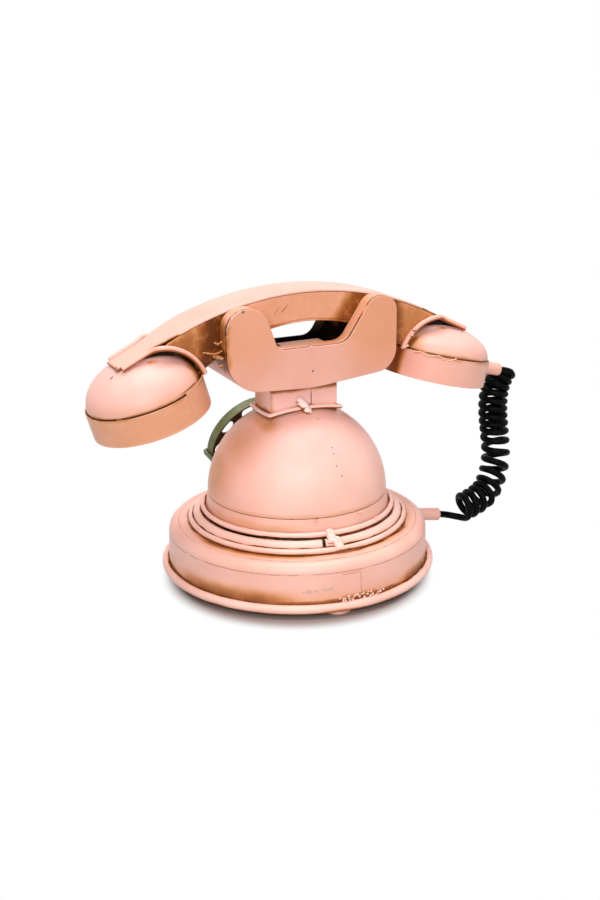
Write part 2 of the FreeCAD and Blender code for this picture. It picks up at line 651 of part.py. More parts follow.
tab_lean = math.radians(dim("neck_tab_angle"))
tab_normal = Vector(0, math.sin(tab_lean), math.cos(tab_lean))
tab_heading = Vector(0, -math.cos(tab_lean), math.sin(tab_lean))
tab_middle = wire_middles[0] + tab_normal * neck_wire + ALONG * dim("neck_tab_shift")
feature("neck_tab", weld_tab(tab_middle, tab_heading, tab_normal))

# Dial: wheel with rim and finger holes, stud, washer, nut and finger stop.
wheel = new_body("dial_wheel", dial_frame)
wheel_disc = sketch_on(wheel, "XY_Plane", "wheel_outline")
add_circle(wheel_disc, "dims.dial_radius")
pad(wheel, wheel_disc, "dims.dial_rim_depth", f"{WHEEL_BACK} + dims.sheet_gauge - dims.dial_rim_depth")
wheel_hollow = sketch_on(wheel, "XY_Plane", "wheel_hollow")
add_circle(wheel_hollow, "dims.dial_radius - dims.sheet_gauge")
pocket_up(wheel, wheel_hollow, WHEEL_BACK)
wheel_bore = sketch_on(wheel, "XY_Plane", "wheel_bore")
add_circle(wheel_bore, "dims.stud_radius + dims.shaft_gap")
pocket_up(wheel, wheel_bore, "2 * dims.dome_radius")
wheel_hole = sketch_on(wheel, "XY_Plane", "wheel_hole")
add_circle(wheel_hole, "dims.finger_hole_radius", "dims.finger_ring_radius", dim("finger_first_angle"))
first_hole = pocket_up(wheel, wheel_hole, "2 * dims.dome_radius")
ring_of(wheel, wheel_hole, first_hole, "dims.finger_hole_count")

nut_top = math.sqrt((dome_radius - gauge) ** 2 - dim("nut_radius") ** 2) - gap
stud_foot = nut_top - dim("nut_height") - dim("stud_tail")
shank = Part.makeCylinder(stud_radius, wheel_front + gap + OVERSHOOT - stud_foot, Vector(0, 0, stud_foot))
stud_head = Part.makeCylinder(dim("stud_head_radius"), dim("stud_head_height"),
                              Vector(0, 0, wheel_front + dim("shaft_gap")))
stud_crown = [edge for edge in stud_head.Edges if edge.CenterOfMass.z > wheel_front + gap + OVERSHOOT / 2]
stud_head = stud_head.makeFillet(dim("stud_head_height") * 0.6, [stud_crown[0]])
feature("dial_stud", solid(shank.fuse(stud_head)), dial_frame)

washer = new_body("dial_washer", dial_frame)
washer_sketch = sketch_on(washer, "XY_Plane", "washer_outline")
add_circle(washer_sketch, "dims.washer_radius")
add_circle(washer_sketch, "dims.stud_radius + dims.shaft_gap")
pad(washer, washer_sketch, "dims.washer_thickness", "dims.dome_radius + dims.joint_gap")

nut_corners = [Vector(dim("nut_radius"), 0, nut_top - dim("nut_height"))]
for _ in range(6):
    nut_corners.append(Rotation(UP, 60).multVec(nut_corners[-1]))
nut_block = Part.Face(Part.makePolygon(nut_corners)).extrude(Vector(0, 0, dim("nut_height")))
feature("dial_nut", nut_block.cut(Part.makeCylinder(stud_hole, 2 * dome_radius)), dial_frame)

stop_inner = dim("dial_radius") + dim("stop_gap")
stop_outer = stop_inner + dim("stop_thickness")
stop_low = wheel_front + dim("stop_gap")
stop_half = dim("stop_width") / 2
stop_post = span_box(stop_inner, stop_outer, -stop_half, stop_half, 0, stop_low + dim("stop_thickness"))
stop_arm = span_box(dim("dial_radius") - dim("stop_reach"), stop_outer, -stop_half, stop_half, stop_low,
                    stop_low + dim("stop_thickness"))
stop = stop_post.fuse(stop_arm).cut(Part.makeSphere(dome_radius + gap))
stop_frame = dial_frame.multiply(Placement(Vector(0, 0, 0), Rotation(UP, dim("stop_angle"))))
feature("finger_stop", solid(stop), stop_frame)

# Handset: the handle's underside lies on the ends of the cradle's bottom strip.
handle_half = dim("handle_width") / 2
under_radius = dim("handle_under_radius")
under_centre = seat_end + dim("rest_gap") - math.sqrt(under_radius ** 2 - half_cradle ** 2)
handle_crown = under_centre + under_radius + dim("handle_depth")
top_radius = dim("handle_top_radius")
top_centre = handle_crown - top_radius
tongue_angle = math.radians(dim("tongue_angle"))
tongue_normal = Vector(math.sin(tongue_angle), 0, math.cos(tongue_angle))
tongue_down = Vector(math.cos(tongue_angle), 0, -math.sin(tongue_angle))
tongue_bend = top_radius * math.sin(tongue_angle)
tongue_half = dim("tongue_width") / 2


def mirrored(point):
    """The same place on the other half of the handset."""
    return Vector(-point.x, point.y, point.z)


def top_strip():
    """The handle's top strip: an arch of sheet with straight, tapering tongues."""
    centre = Vector(0, -handle_half, top_centre)
    faces = []
    for radius in (top_radius, top_radius - gauge):
        end = centre + tongue_normal * radius
        faces.append((end + tongue_down * dim("tongue_length"), end, centre + UP * radius))
    (out_tip, out_end, out_top), (in_tip, in_end, in_top) = faces
    edges = [
        Part.makeLine(mirrored(out_tip), mirrored(out_end)),
        Part.Arc(mirrored(out_end), out_top, out_end).toShape(),
        Part.makeLine(out_end, out_tip),
        Part.makeLine(out_tip, in_tip),
        Part.makeLine(in_tip, in_end),
        Part.Arc(in_end, in_top, mirrored(in_end)).toShape(),
        Part.makeLine(mirrored(in_end), mirrored(in_tip)),
        Part.makeLine(mirrored(in_tip), mirrored(out_tip))]
    strip = Part.Face(Part.Wire(edges)).extrude(ACROSS * (2 * handle_half))
    tip = out_tip.x
    start = tongue_bend - dim("tongue_taper_start")
    end = tongue_bend + dim("tongue_taper_end")
    plan = [(start, handle_half), (end, tongue_half), (tip, tongue_half)]
    plan += [(x, -y) for x, y in reversed(plan)]
    plan += [(-x, y) for x, y in reversed(plan)]
    points = [Vector(x, y, 0) for x, y in plan]
    taper = Part.Face(Part.makePolygon(points + points[:1])).extrude(UP * (2 * handle_crown))
    return solid(strip.common(taper))


class Cap:
    """One round cap of the handset, placed so that its dome lies under the tongue."""

    def __init__(self, name, side):
        self.name = name
        self.side = side
        self.height = dim(f"{name}_dome_height")
        self.radius = dim("cap_dome_radius")
        tilt = math.radians(dim(f"{name}_tilt"))
        axis = Vector(math.sin(tilt), 0, math.cos(tilt))
        level = Vector(axis.z, 0, -axis.x)
        reach = tongue_bend + dim(f"{name}_offset")
        support = math.hypot(self.radius * tongue_normal.dot(level), self.height * tongue_normal.dot(axis))
        plane = tongue_normal.z * top_centre + top_radius - gauge
        rise = (plane - gap - support - tongue_normal.x * reach) / tongue_normal.z
        self.centre = Vector(side * reach, 0, rise)
        self.frame = Placement(self.centre, Rotation(ACROSS, side * dim(f"{name}_tilt")))

    def ball(self, shrink):
        """Upper half of the dome's surface as a solid, smaller all round by a distance."""
        ball = Part.makeSphere(1.0, Vector(0, 0, 0), UP, 0, 90, 360)
        grow = FreeCAD.Matrix()
        grow.scale(self.radius - shrink, self.radius - shrink, self.height - shrink)
        return ball.transformGeometry(grow)

    def drum(self, radius, low, high):
        """A round block about the cap's axis between two heights."""
        return Part.makeCylinder(radius, high - low, Vector(0, 0, low))

    def envelope(self):
        """All that lies inside the cap, a joint gap larger, in place."""
        below = self.drum(self.radius + gauge + 2 * gap, -dim("cap_band_height"), 0)
        whole = self.ball(-gap).fuse(below)
        whole.Placement = self.frame
        return whole

    def build(self):
        """Dome, band, closing disc and bead wires."""
        skirt = dim("cap_skirt")
        dome = self.ball(0).fuse(self.drum(self.radius, -skirt, 0))
        hollow = self.ball(gauge).fuse(self.drum(self.radius - gauge, -skirt, 0))
        feature(f"{self.name}_dome", solid(dome.cut(hollow)), self.frame)
        band_inside = self.radius + gap
        low = -dim("cap_band_height")
        band = self.drum(band_inside + gauge, low, 0).cut(self.drum(band_inside, low, 0))
        feature(f"{self.name}_band", band, self.frame)
        self.closing_disc()
        self.bead_wires()

    def closing_disc(self):
        """Disc across the band with one hole in the middle and a ring of holes."""
        body = new_body(f"{self.name}_face", self.frame)
        outline = sketch_on(body, "XY_Plane", f"{self.name}_face_outline")
        add_circle(outline, "dims.cap_dome_radius")
        pad(body, outline, "dims.sheet_gauge", "dims.face_recess - dims.cap_band_height")
        middle = sketch_on(body, "XY_Plane", f"{self.name}_face_middle")
        add_circle(middle, "dims.sound_hole_radius")
        middle.setExpression("AttachmentOffset.Base.z", "-dims.cap_band_height")
        pocket_up(body, middle, "dims.cap_band_height")
        ring = sketch_on(body, "XY_Plane", f"{self.name}_face_ring")
        add_circle(ring, "dims.sound_hole_radius", "dims.sound_ring_radius")
        ring.setExpression("AttachmentOffset.Base.z", "-dims.cap_band_height")
        ring_of(body, ring, pocket_up(body, ring, "dims.cap_band_height"), "dims.sound_hole_count")

    def arch_centre(self):
        """Centre of the arch cut into the handle's sides over this cap."""
        reach = tongue_bend + dim("bead_arch_offset")
        return Vector(self.side * reach, 0, handle_crown - dim("bead_arch_drop"))

    def on_arch(self, angle):
        """Place and heading on the arch at an angle, turning over toward the tip."""
        turn = math.radians(angle)
        out = Vector(self.side * math.cos(turn), 0, math.sin(turn))
        heading = Vector(self.side * math.sin(turn), 0, -math.cos(turn))
        return self.arch_centre() + out * dim("bead_arch_radius"), heading

    def on_tongue(self, distance):
        """Place in the middle of the tongue's sheet at a distance past its bend."""
        place = UP * top_centre + tongue_normal * (top_radius - gauge / 2) + tongue_down * distance
        return Vector(self.side * place.x, 0, place.z)

    def bead_wires(self):
        """Wires along the arch and on beside the tongue, one on each side of the handle."""
        radius = dim("bead_wire_radius")
        beside_handle = ACROSS * (handle_half + radius + gap)
        beside_tongue = ACROSS * (tongue_half + radius + dim("bead_tongue_gap"))
        angles = (dim("bead_foot_angle"), dim("bead_leave_angle"))
        foot, middle, leave = [self.on_arch(angle)[0] for angle in (angles[0], sum(angles) / 2, angles[1])]
        leave_heading = self.on_arch(angles[1])[1]
        join = self.on_tongue(dim("bead_join") / tongue_down.x)
        tip = self.on_tongue(dim("tongue_length") - dim("bead_tip_inset"))
        wires = []
        for across in (REAR, FRONT):
            near = beside_handle * across
            far = beside_tongue * across
            edges = [Part.Arc(foot + near, middle + near, leave + near).toShape()]
            edges += biarc(leave + near, leave_heading, join + far, (tip - join).normalize())
            edges.append(Part.makeLine(join + far, tip + far))
            wires.append(tube(edges, radius))
        feature(f"{self.name}_wires", Part.makeCompound(wires))


caps = (Cap("earpiece", EAR), Cap("mouthpiece", MOUTH))
feature("handle_top_strip", top_strip())
under_end = tongue_bend - dim("under_before_bend")
under_strip = disc_across(0, under_centre, under_radius + gauge, handle_half)
under_strip = under_strip.cut(disc_across(0, under_centre, under_radius, handle_half))
under_strip = under_strip.common(span_box(-under_end, under_end, -handle_half, handle_half,
                                          under_centre, handle_crown))
for cap in caps:
    under_strip = under_strip.cut(cap.envelope())
feature("handle_bottom_strip", solid(under_strip))
side_end = tongue_bend + dim("side_past_bend")
for side_name, side in (("rear", REAR), ("front", FRONT)):
    faces = sorted((side * handle_half, side * (handle_half - gauge)))
    panel = disc_across(0, top_centre, top_radius - gauge - gap, handle_half)
    panel = panel.cut(disc_across(0, under_centre, under_radius + gauge + gap, handle_half))
    panel = panel.common(span_box(-side_end, side_end, *faces, under_centre, handle_crown))
    for cap in caps:
        arch = cap.arch_centre()
        panel = panel.cut(disc_across(arch.x, arch.z, dim("bead_arch_radius"), handle_half))
    feature(f"handle_{side_name}_side", solid(panel))
for cap in caps:
    cap.build()

# Ferrules: tubes on the mouthpiece band and on the drum, each with a shallow mouth.
ferrule = dim("ferrule_radius")
bore_depth = dim("ferrule_bore_depth")
mouth_radius = dim("cord_radius") + dim("ferrule_bore_gap")


def ferrule_tube(root, end, seat):
    """A ferrule from its root to its end, its root cut to the wall it sits on."""
    heading = (end - root).normalize()
    body = Part.makeCylinder(ferrule, (end - root).Length, root, heading)
    mouth = Part.makeCylinder(mouth_radius, bore_depth, end - heading * bore_depth, heading)
    return solid(body.cut(mouth).cut(seat))


mouthpiece = caps[1]
turned = mouthpiece.frame.Rotation
cap_out = turned.multVec(Vector(MOUTH, 0, 0))
cap_up = turned.multVec(UP)
band_outer = mouthpiece.radius + gap + gauge
cap_drop = mouthpiece.centre - cap_up * dim("handset_ferrule_drop")
handset_end = cap_drop + cap_out * (band_outer + dim("handset_ferrule_length"))
band_seat = mouthpiece.drum(band_outer + gap, -2 * dim("cap_band_height"), dim("cap_band_height"))
band_seat.Placement = mouthpiece.frame
feature("handset_cord_ferrule", ferrule_tube(cap_drop + cap_out * mouthpiece.radius, handset_end, band_seat))

dip = math.radians(dim("base_ferrule_dip"))
base_out = Vector(-math.cos(dip), 0, -math.sin(dip))
base_end = Vector(-dim("base_ferrule_reach"), 0, dim("base_ferrule_height"))
base_root_reach = (dim("base_ferrule_reach") - band_top_radius + 2 * OVERSHOOT) / math.cos(dip)
drum_seat = Part.makeCone(dim("base_radius") + gap, band_top_radius + gap, dim("band_height"),
                          Vector(0, 0, band_foot))
feature("base_cord_ferrule", ferrule_tube(base_end - base_out * base_root_reach, base_end, drum_seat))

# Cord: a tail out of the base ferrule, then curls up to the handset ferrule.
cord = dim("cord_radius")
cord_across = 2 * cord


def run_along(points):
    """Straight runs joined by tangent arcs; returns the edges and the arcs' radii."""
    edges = []
    radii = []
    start = points[0]
    for before, corner, after in zip(points, points[1:], points[2:]):
        back = (before - corner).normalize()
        ahead = (after - corner).normalize()
        half_turn = (math.pi - back.getAngle(ahead)) / 2
        reach = 0.45 * min((before - corner).Length, (after - corner).Length)
        radius = reach / math.tan(half_turn)
        middle = corner + (back + ahead).normalize() * (radius / math.cos(half_turn) - radius)
        edges.append(Part.makeLine(start, corner + back * reach))
        edges.append(Part.Arc(corner + back * reach, middle, corner + ahead * reach).toShape())
        start = corner + ahead * reach
        radii.append(radius)
    edges.append(Part.makeLine(start, points[-1]))
    return edges, radii


tail_start = base_end - base_out * bore_depth
tail_turn = tail_start + base_out * dim("tail_lead")
tail_end = tail_turn - Vector(dim("tail_run"), dim("tail_side"), dim("tail_drop"))
tail_points = [tail_start, tail_turn, tail_end]
tail_edges, tail_radii = run_along(tail_points)
feature("cord_tail", tube(tail_edges, cord))
print("tail radii over wire diameter", [round(radius / cord_across, 1) for radius in tail_radii])

curl_radius = dim("curl_radius")
curl_start = handset_end - cap_out * bore_depth
curl_first = curl_start + cap_out * (bore_depth + cord_across + dim("curl_reach"))
curl_last_heading = (tail_turn - tail_end).normalize()
curl_end = tail_end
curl_leave = curl_end - curl_last_heading * cord_across
axis_top = curl_first - ACROSS * curl_radius
axis_lean = Vector(dim("curl_lean_along"), dim("curl_lean_across"), 0)
axis_bend = Vector(axis_top.x, axis_top.y, dim("curl_bend_height")) + axis_lean
axis_drop = (axis_bend - axis_top).Length
axis_down = (axis_bend - axis_top).normalize()
axis_side = (ALONG - axis_down * ALONG.dot(axis_down)).normalize()
axis_across = axis_side.cross(axis_down)
bend_radius = dim("curl_bend_radius")
bend_turn = math.radians(dim("curl_bend_angle"))
axis_turned = axis_drop + bend_radius * bend_turn
axis_length = axis_turned + dim("curl_end_run")


def eased(share):
    """A share of the way from nought to one, level at both ends."""
    share = min(1.0, share)
    return share * share * (3 - 2 * share)


def axis_frame(distance):
    """Place and side direction of the curls' axis at a distance from its top."""
    if distance <= axis_drop:
        share = distance / axis_drop
        bow = dim("curl_bow") * math.sin(math.pi * share) ** 2
        shift = dim("curl_shift") * eased(distance / dim("curl_lead")) * (1 - eased(share))
        return axis_top + axis_down * distance + axis_side * (bow + shift), axis_side
    turn = (min(distance, axis_turned) - axis_drop) / bend_radius
    place = axis_bend + (axis_down * math.sin(turn) + axis_side * (1 - math.cos(turn))) * bend_radius
    ahead = axis_down * math.cos(turn) + axis_side * math.sin(turn)
    return (place + ahead * max(0.0, distance - axis_turned),
            axis_side * math.cos(turn) - axis_down * math.sin(turn))


def curl_pitch_at(distance):
    """Pitch of the curls at a distance along their axis."""
    even = dim("curl_even_part") * axis_length
    if distance < axis_drop:
        share = max(0.0, (distance - even) / (axis_drop - even))
        return dim("curl_pitch") + (dim("curl_pitch_low") - dim("curl_pitch")) * share
    share = min(1.0, (distance - axis_drop) / (axis_length - axis_drop))
    return dim("curl_pitch_low") + (dim("curl_pitch_end") - dim("curl_pitch_low")) * share


def curl_distances():
    """Distances along the axis at each quarter turn, ending a quarter past whole turns."""
    places = [0.0]
    while places[-1] < axis_length:
        pitch = dim("curl_lead") if len(places) <= QUARTERS else curl_pitch_at(places[-1])
        places.append(places[-1] + pitch / QUARTERS)
    whole_turns = (len(places) - 2) // QUARTERS
    places = places[:QUARTERS * whole_turns + 2]
    stretch = axis_length / places[-1]
    return [place * stretch for place in places]


distances = curl_distances()


def curl_point(quarter):
    """Middle of the wire at a number of quarter turns from the top."""
    index = min(int(quarter), len(distances) - 2)
    low, high = distances[index], distances[index + 1]
    place, side = axis_frame(low + (high - low) * (quarter - index))
    turn = math.pi / 2 * (1 + quarter)
    return place + side * (curl_radius * math.cos(turn)) + axis_across * (curl_radius * math.sin(turn))


def curl_heading(quarter):
    """Direction of the wire at a number of quarter turns."""
    last = len(distances) - 1
    low = max(0.0, quarter - 0.02)
    high = min(float(last), quarter + 0.02)
    return (curl_point(high) - curl_point(low)).normalize()


stations = [(curl_first, cap_out)]
for quarter in range(1, len(distances)):
    stations.append((curl_point(quarter), curl_heading(quarter)))
stations.append((curl_leave, curl_last_heading))
curl_edges = [Part.makeLine(curl_start, curl_first)]
for (start, start_heading), (end, end_heading) in zip(stations, stations[1:]):
    curl_edges.extend(biarc(start, start_heading, end, end_heading))
curl_edges.append(Part.makeLine(curl_leave, curl_end))
feature("cord_curl", tube(curl_edges, cord))


def least_self_gap(edges, radius):
    """Smallest air between two stretches of a wire, and its sharpest bend over its radius."""
    points = []
    for edge in edges:
        count = max(2, int(edge.Length / CHECK_STEP))
        points.extend(edge.discretize(Number=count)[:-1])
    apart = int(math.pi * curl_radius / CHECK_STEP)
    least = float("inf")
    for index, point in enumerate(points):
        for other in points[index + apart:index + 6 * apart]:
            least = min(least, point.distanceToPoint(other))
    bends = [edge.Curve.Radius for edge in edges if hasattr(edge.Curve, "Radius")]
    return least - 2 * radius, min(bends) / radius


air, bend = least_self_gap(curl_edges, cord)
lowest = doc.getObject("cord_curl").Shape.BoundBox.ZMin
print(f"curls {len(distances) / 4:.1f}, least air {air:.2f} mm, sharpest bend {bend:.2f} wire radii,"
      f" lowest {lowest:.2f} mm")

doc.recompute()
for item in doc.Objects:
    if "Invalid" in item.State or "Error" in item.State:
        raise ValueError(f"{item.Label} did not compute")
os.makedirs("parts", exist_ok=True)
for item in nodes:
    shape = item.Shape
    if shape.isNull() or not shape.isValid() or shape.Volume <= 0:
        raise ValueError(f"{item.Label} has no valid solid")
    shape.exportStep(f"parts/{item.Label}.step")
print(f"{len(nodes)} pieces written")
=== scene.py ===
"""Dresses the cradle telephone ornament and stands it in a plain studio.

The ornament is bent and soldered tinplate, sprayed pink and rubbed with a brown wash that stays in
its corners. Sizes and places in the classes are millimetres in the part's own frame: X runs along
the handset towards the earpiece, Y towards the back, which the camera faces, and Z up from the table.
"""

import json
import logging
import math
from dataclasses import dataclass, field, replace
from enum import Enum

import bmesh
import bpy
from mathutils import Matrix, Vector

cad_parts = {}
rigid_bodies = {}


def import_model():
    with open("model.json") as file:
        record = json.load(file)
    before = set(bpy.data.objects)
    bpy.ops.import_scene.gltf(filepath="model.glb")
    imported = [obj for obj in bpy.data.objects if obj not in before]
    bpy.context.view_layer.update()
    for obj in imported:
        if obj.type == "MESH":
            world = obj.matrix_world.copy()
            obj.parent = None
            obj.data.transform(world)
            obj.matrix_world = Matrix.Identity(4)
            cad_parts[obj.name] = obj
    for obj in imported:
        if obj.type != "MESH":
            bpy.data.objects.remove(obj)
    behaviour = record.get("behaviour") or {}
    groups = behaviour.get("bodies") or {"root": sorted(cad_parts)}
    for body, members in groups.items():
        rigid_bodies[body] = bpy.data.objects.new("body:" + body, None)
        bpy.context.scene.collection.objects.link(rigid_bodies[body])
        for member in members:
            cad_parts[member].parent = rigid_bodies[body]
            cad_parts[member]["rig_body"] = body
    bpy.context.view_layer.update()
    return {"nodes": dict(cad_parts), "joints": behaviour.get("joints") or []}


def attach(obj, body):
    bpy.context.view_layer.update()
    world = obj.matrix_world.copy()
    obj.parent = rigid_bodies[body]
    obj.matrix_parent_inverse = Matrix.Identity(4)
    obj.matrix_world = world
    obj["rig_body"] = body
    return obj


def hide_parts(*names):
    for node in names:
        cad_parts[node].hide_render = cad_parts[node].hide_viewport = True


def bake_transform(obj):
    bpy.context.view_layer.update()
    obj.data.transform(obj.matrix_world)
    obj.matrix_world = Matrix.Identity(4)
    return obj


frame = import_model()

Point = tuple[float, float, float]
Pair = tuple[float, float]
MM = 0.001
UP: Point = (0.0, 0.0, 1.0)
DOWN: Point = (0.0, 0.0, -1.0)
ORIGIN: Point = (0.0, 0.0, 0.0)
log = logging.getLogger("telephone")

VECTOR, MATH, RANGE = "ShaderNodeVectorMath", "ShaderNodeMath", "ShaderNodeMapRange"
NOISE, MIX, RANDOM = "ShaderNodeTexNoise", "ShaderNodeMix", "FunctionNodeRandomValue"
SMOOTH = {"interpolation_type": "SMOOTHSTEP"}

# Share of a stain's reach that it fills before it fades.
FILLED_REACH = 0.3
# Noise at which the clouds and the gloss go from one end to the other, and the grain's share of the relief.
CLOUD_NOISE: Pair = (0.35, 0.65)
GLOSS_NOISE: Pair = (0.3, 0.7)
GRAIN_SHARE = 0.12
# In a sheet's solid: millimetres between corners that are one, the angle between faces of one flat,
# the angle past which an edge is rolled, and the faces across a rolled edge.
SAME_POINT = 0.001
FLAT_ANGLE = math.radians(0.6)
EDGE_ANGLE = math.radians(35)
EDGE_FACES = 3


class Spread(Enum):
    """The form that a stain keeps to."""

    BALL = "round a point"
    LINE = "along a straight line"
    RING = "along a circle"
    PLANE = "along a flat"
    FACING = "on faces that look one way"


class Slot(Enum):
    """The record's material slots, which this script does not assign."""

    PINK = "pink_enamel"
    CORD = "black_cord"


@dataclass(frozen=True)
class Stain:
    """A wash, crack or scuff on the paint, or painted shade, in millimetres.

    A ball lies at a point, a line runs from one point to another, a ring lies about an axis through its
    centre, and a plane has a normal. On facing sides, full and clear say how far the cosine of the angle
    from the way they look falls short of one. Near and reach keep a stain to one part of the piece.
    """

    spread: Spread
    at: Point
    full: float
    clear: float
    strength: float = 1.0
    to: Point = UP
    radius: float = 0.0
    near: Point | None = None
    reach: float = 0.0


@dataclass(frozen=True)
class Layer:
    """A colour that comes in between two amounts of a stain."""

    colour: str
    start: float = 0.0
    end: float = 1.0


def mirrored(stains: tuple[Stain, ...], axis: int = 1) -> tuple[Stain, ...]:
    """Gives the stains' twins on the other side of a middle plane.

    Args:
        stains: The stains.
        axis: The axis across that plane, 0 for X and 1 for Y.

    Returns:
        The twins.
    """
    signs = Vector([-1.0 if place == axis else 1.0 for place in range(3)])
    return tuple(replace(stain, at=tuple(signs * Vector(stain.at)), to=tuple(signs * Vector(stain.to)))
                 for stain in stains)


def shade_beneath(full: float, clear: float, strength: float) -> Stain:
    """Gives painted shade on the faces that look down."""
    return Stain(Spread.FACING, ORIGIN, full, clear, strength, DOWN)


def linear(hex_colour: str) -> tuple[float, float, float, float]:
    """Turns a colour to linear light.

    Args:
        hex_colour: Six sRGB hex digits.

    Returns:
        Linear red, green and blue, and an alpha of one.
    """
    channels = [int(hex_colour[place:place + 2], 16) / 255 for place in (0, 2, 4)]
    red, green, blue = (c / 12.92 if c <= 0.04045 else ((c + 0.055) / 1.055) ** 2.4 for c in channels)
    return red, green, blue, 1.0


def add_node(tree: bpy.types.NodeTree, kind: str, settings: dict[str, object] | None = None,
             sockets: dict[int | str, object] | None = None) -> bpy.types.Node:
    """Adds a node with its settings and links.

    Args:
        tree: The tree that gets the node.
        kind: The node's type name.
        settings: Properties to set on the node.
        sockets: Inputs by number or name, each a value, a socket, or a node whose first output is meant.

    Returns:
        The new node.
    """
    node = tree.nodes.new(kind)
    for name, value in (settings or {}).items():
        setattr(node, name, value)
    for key, value in (sockets or {}).items():
        if isinstance(value, bpy.types.Node):
            value = value.outputs[0]
        if isinstance(value, bpy.types.NodeSocket):
            tree.links.new(value, node.inputs[key])
        else:
            node.inputs[key].default_value = value
    return node


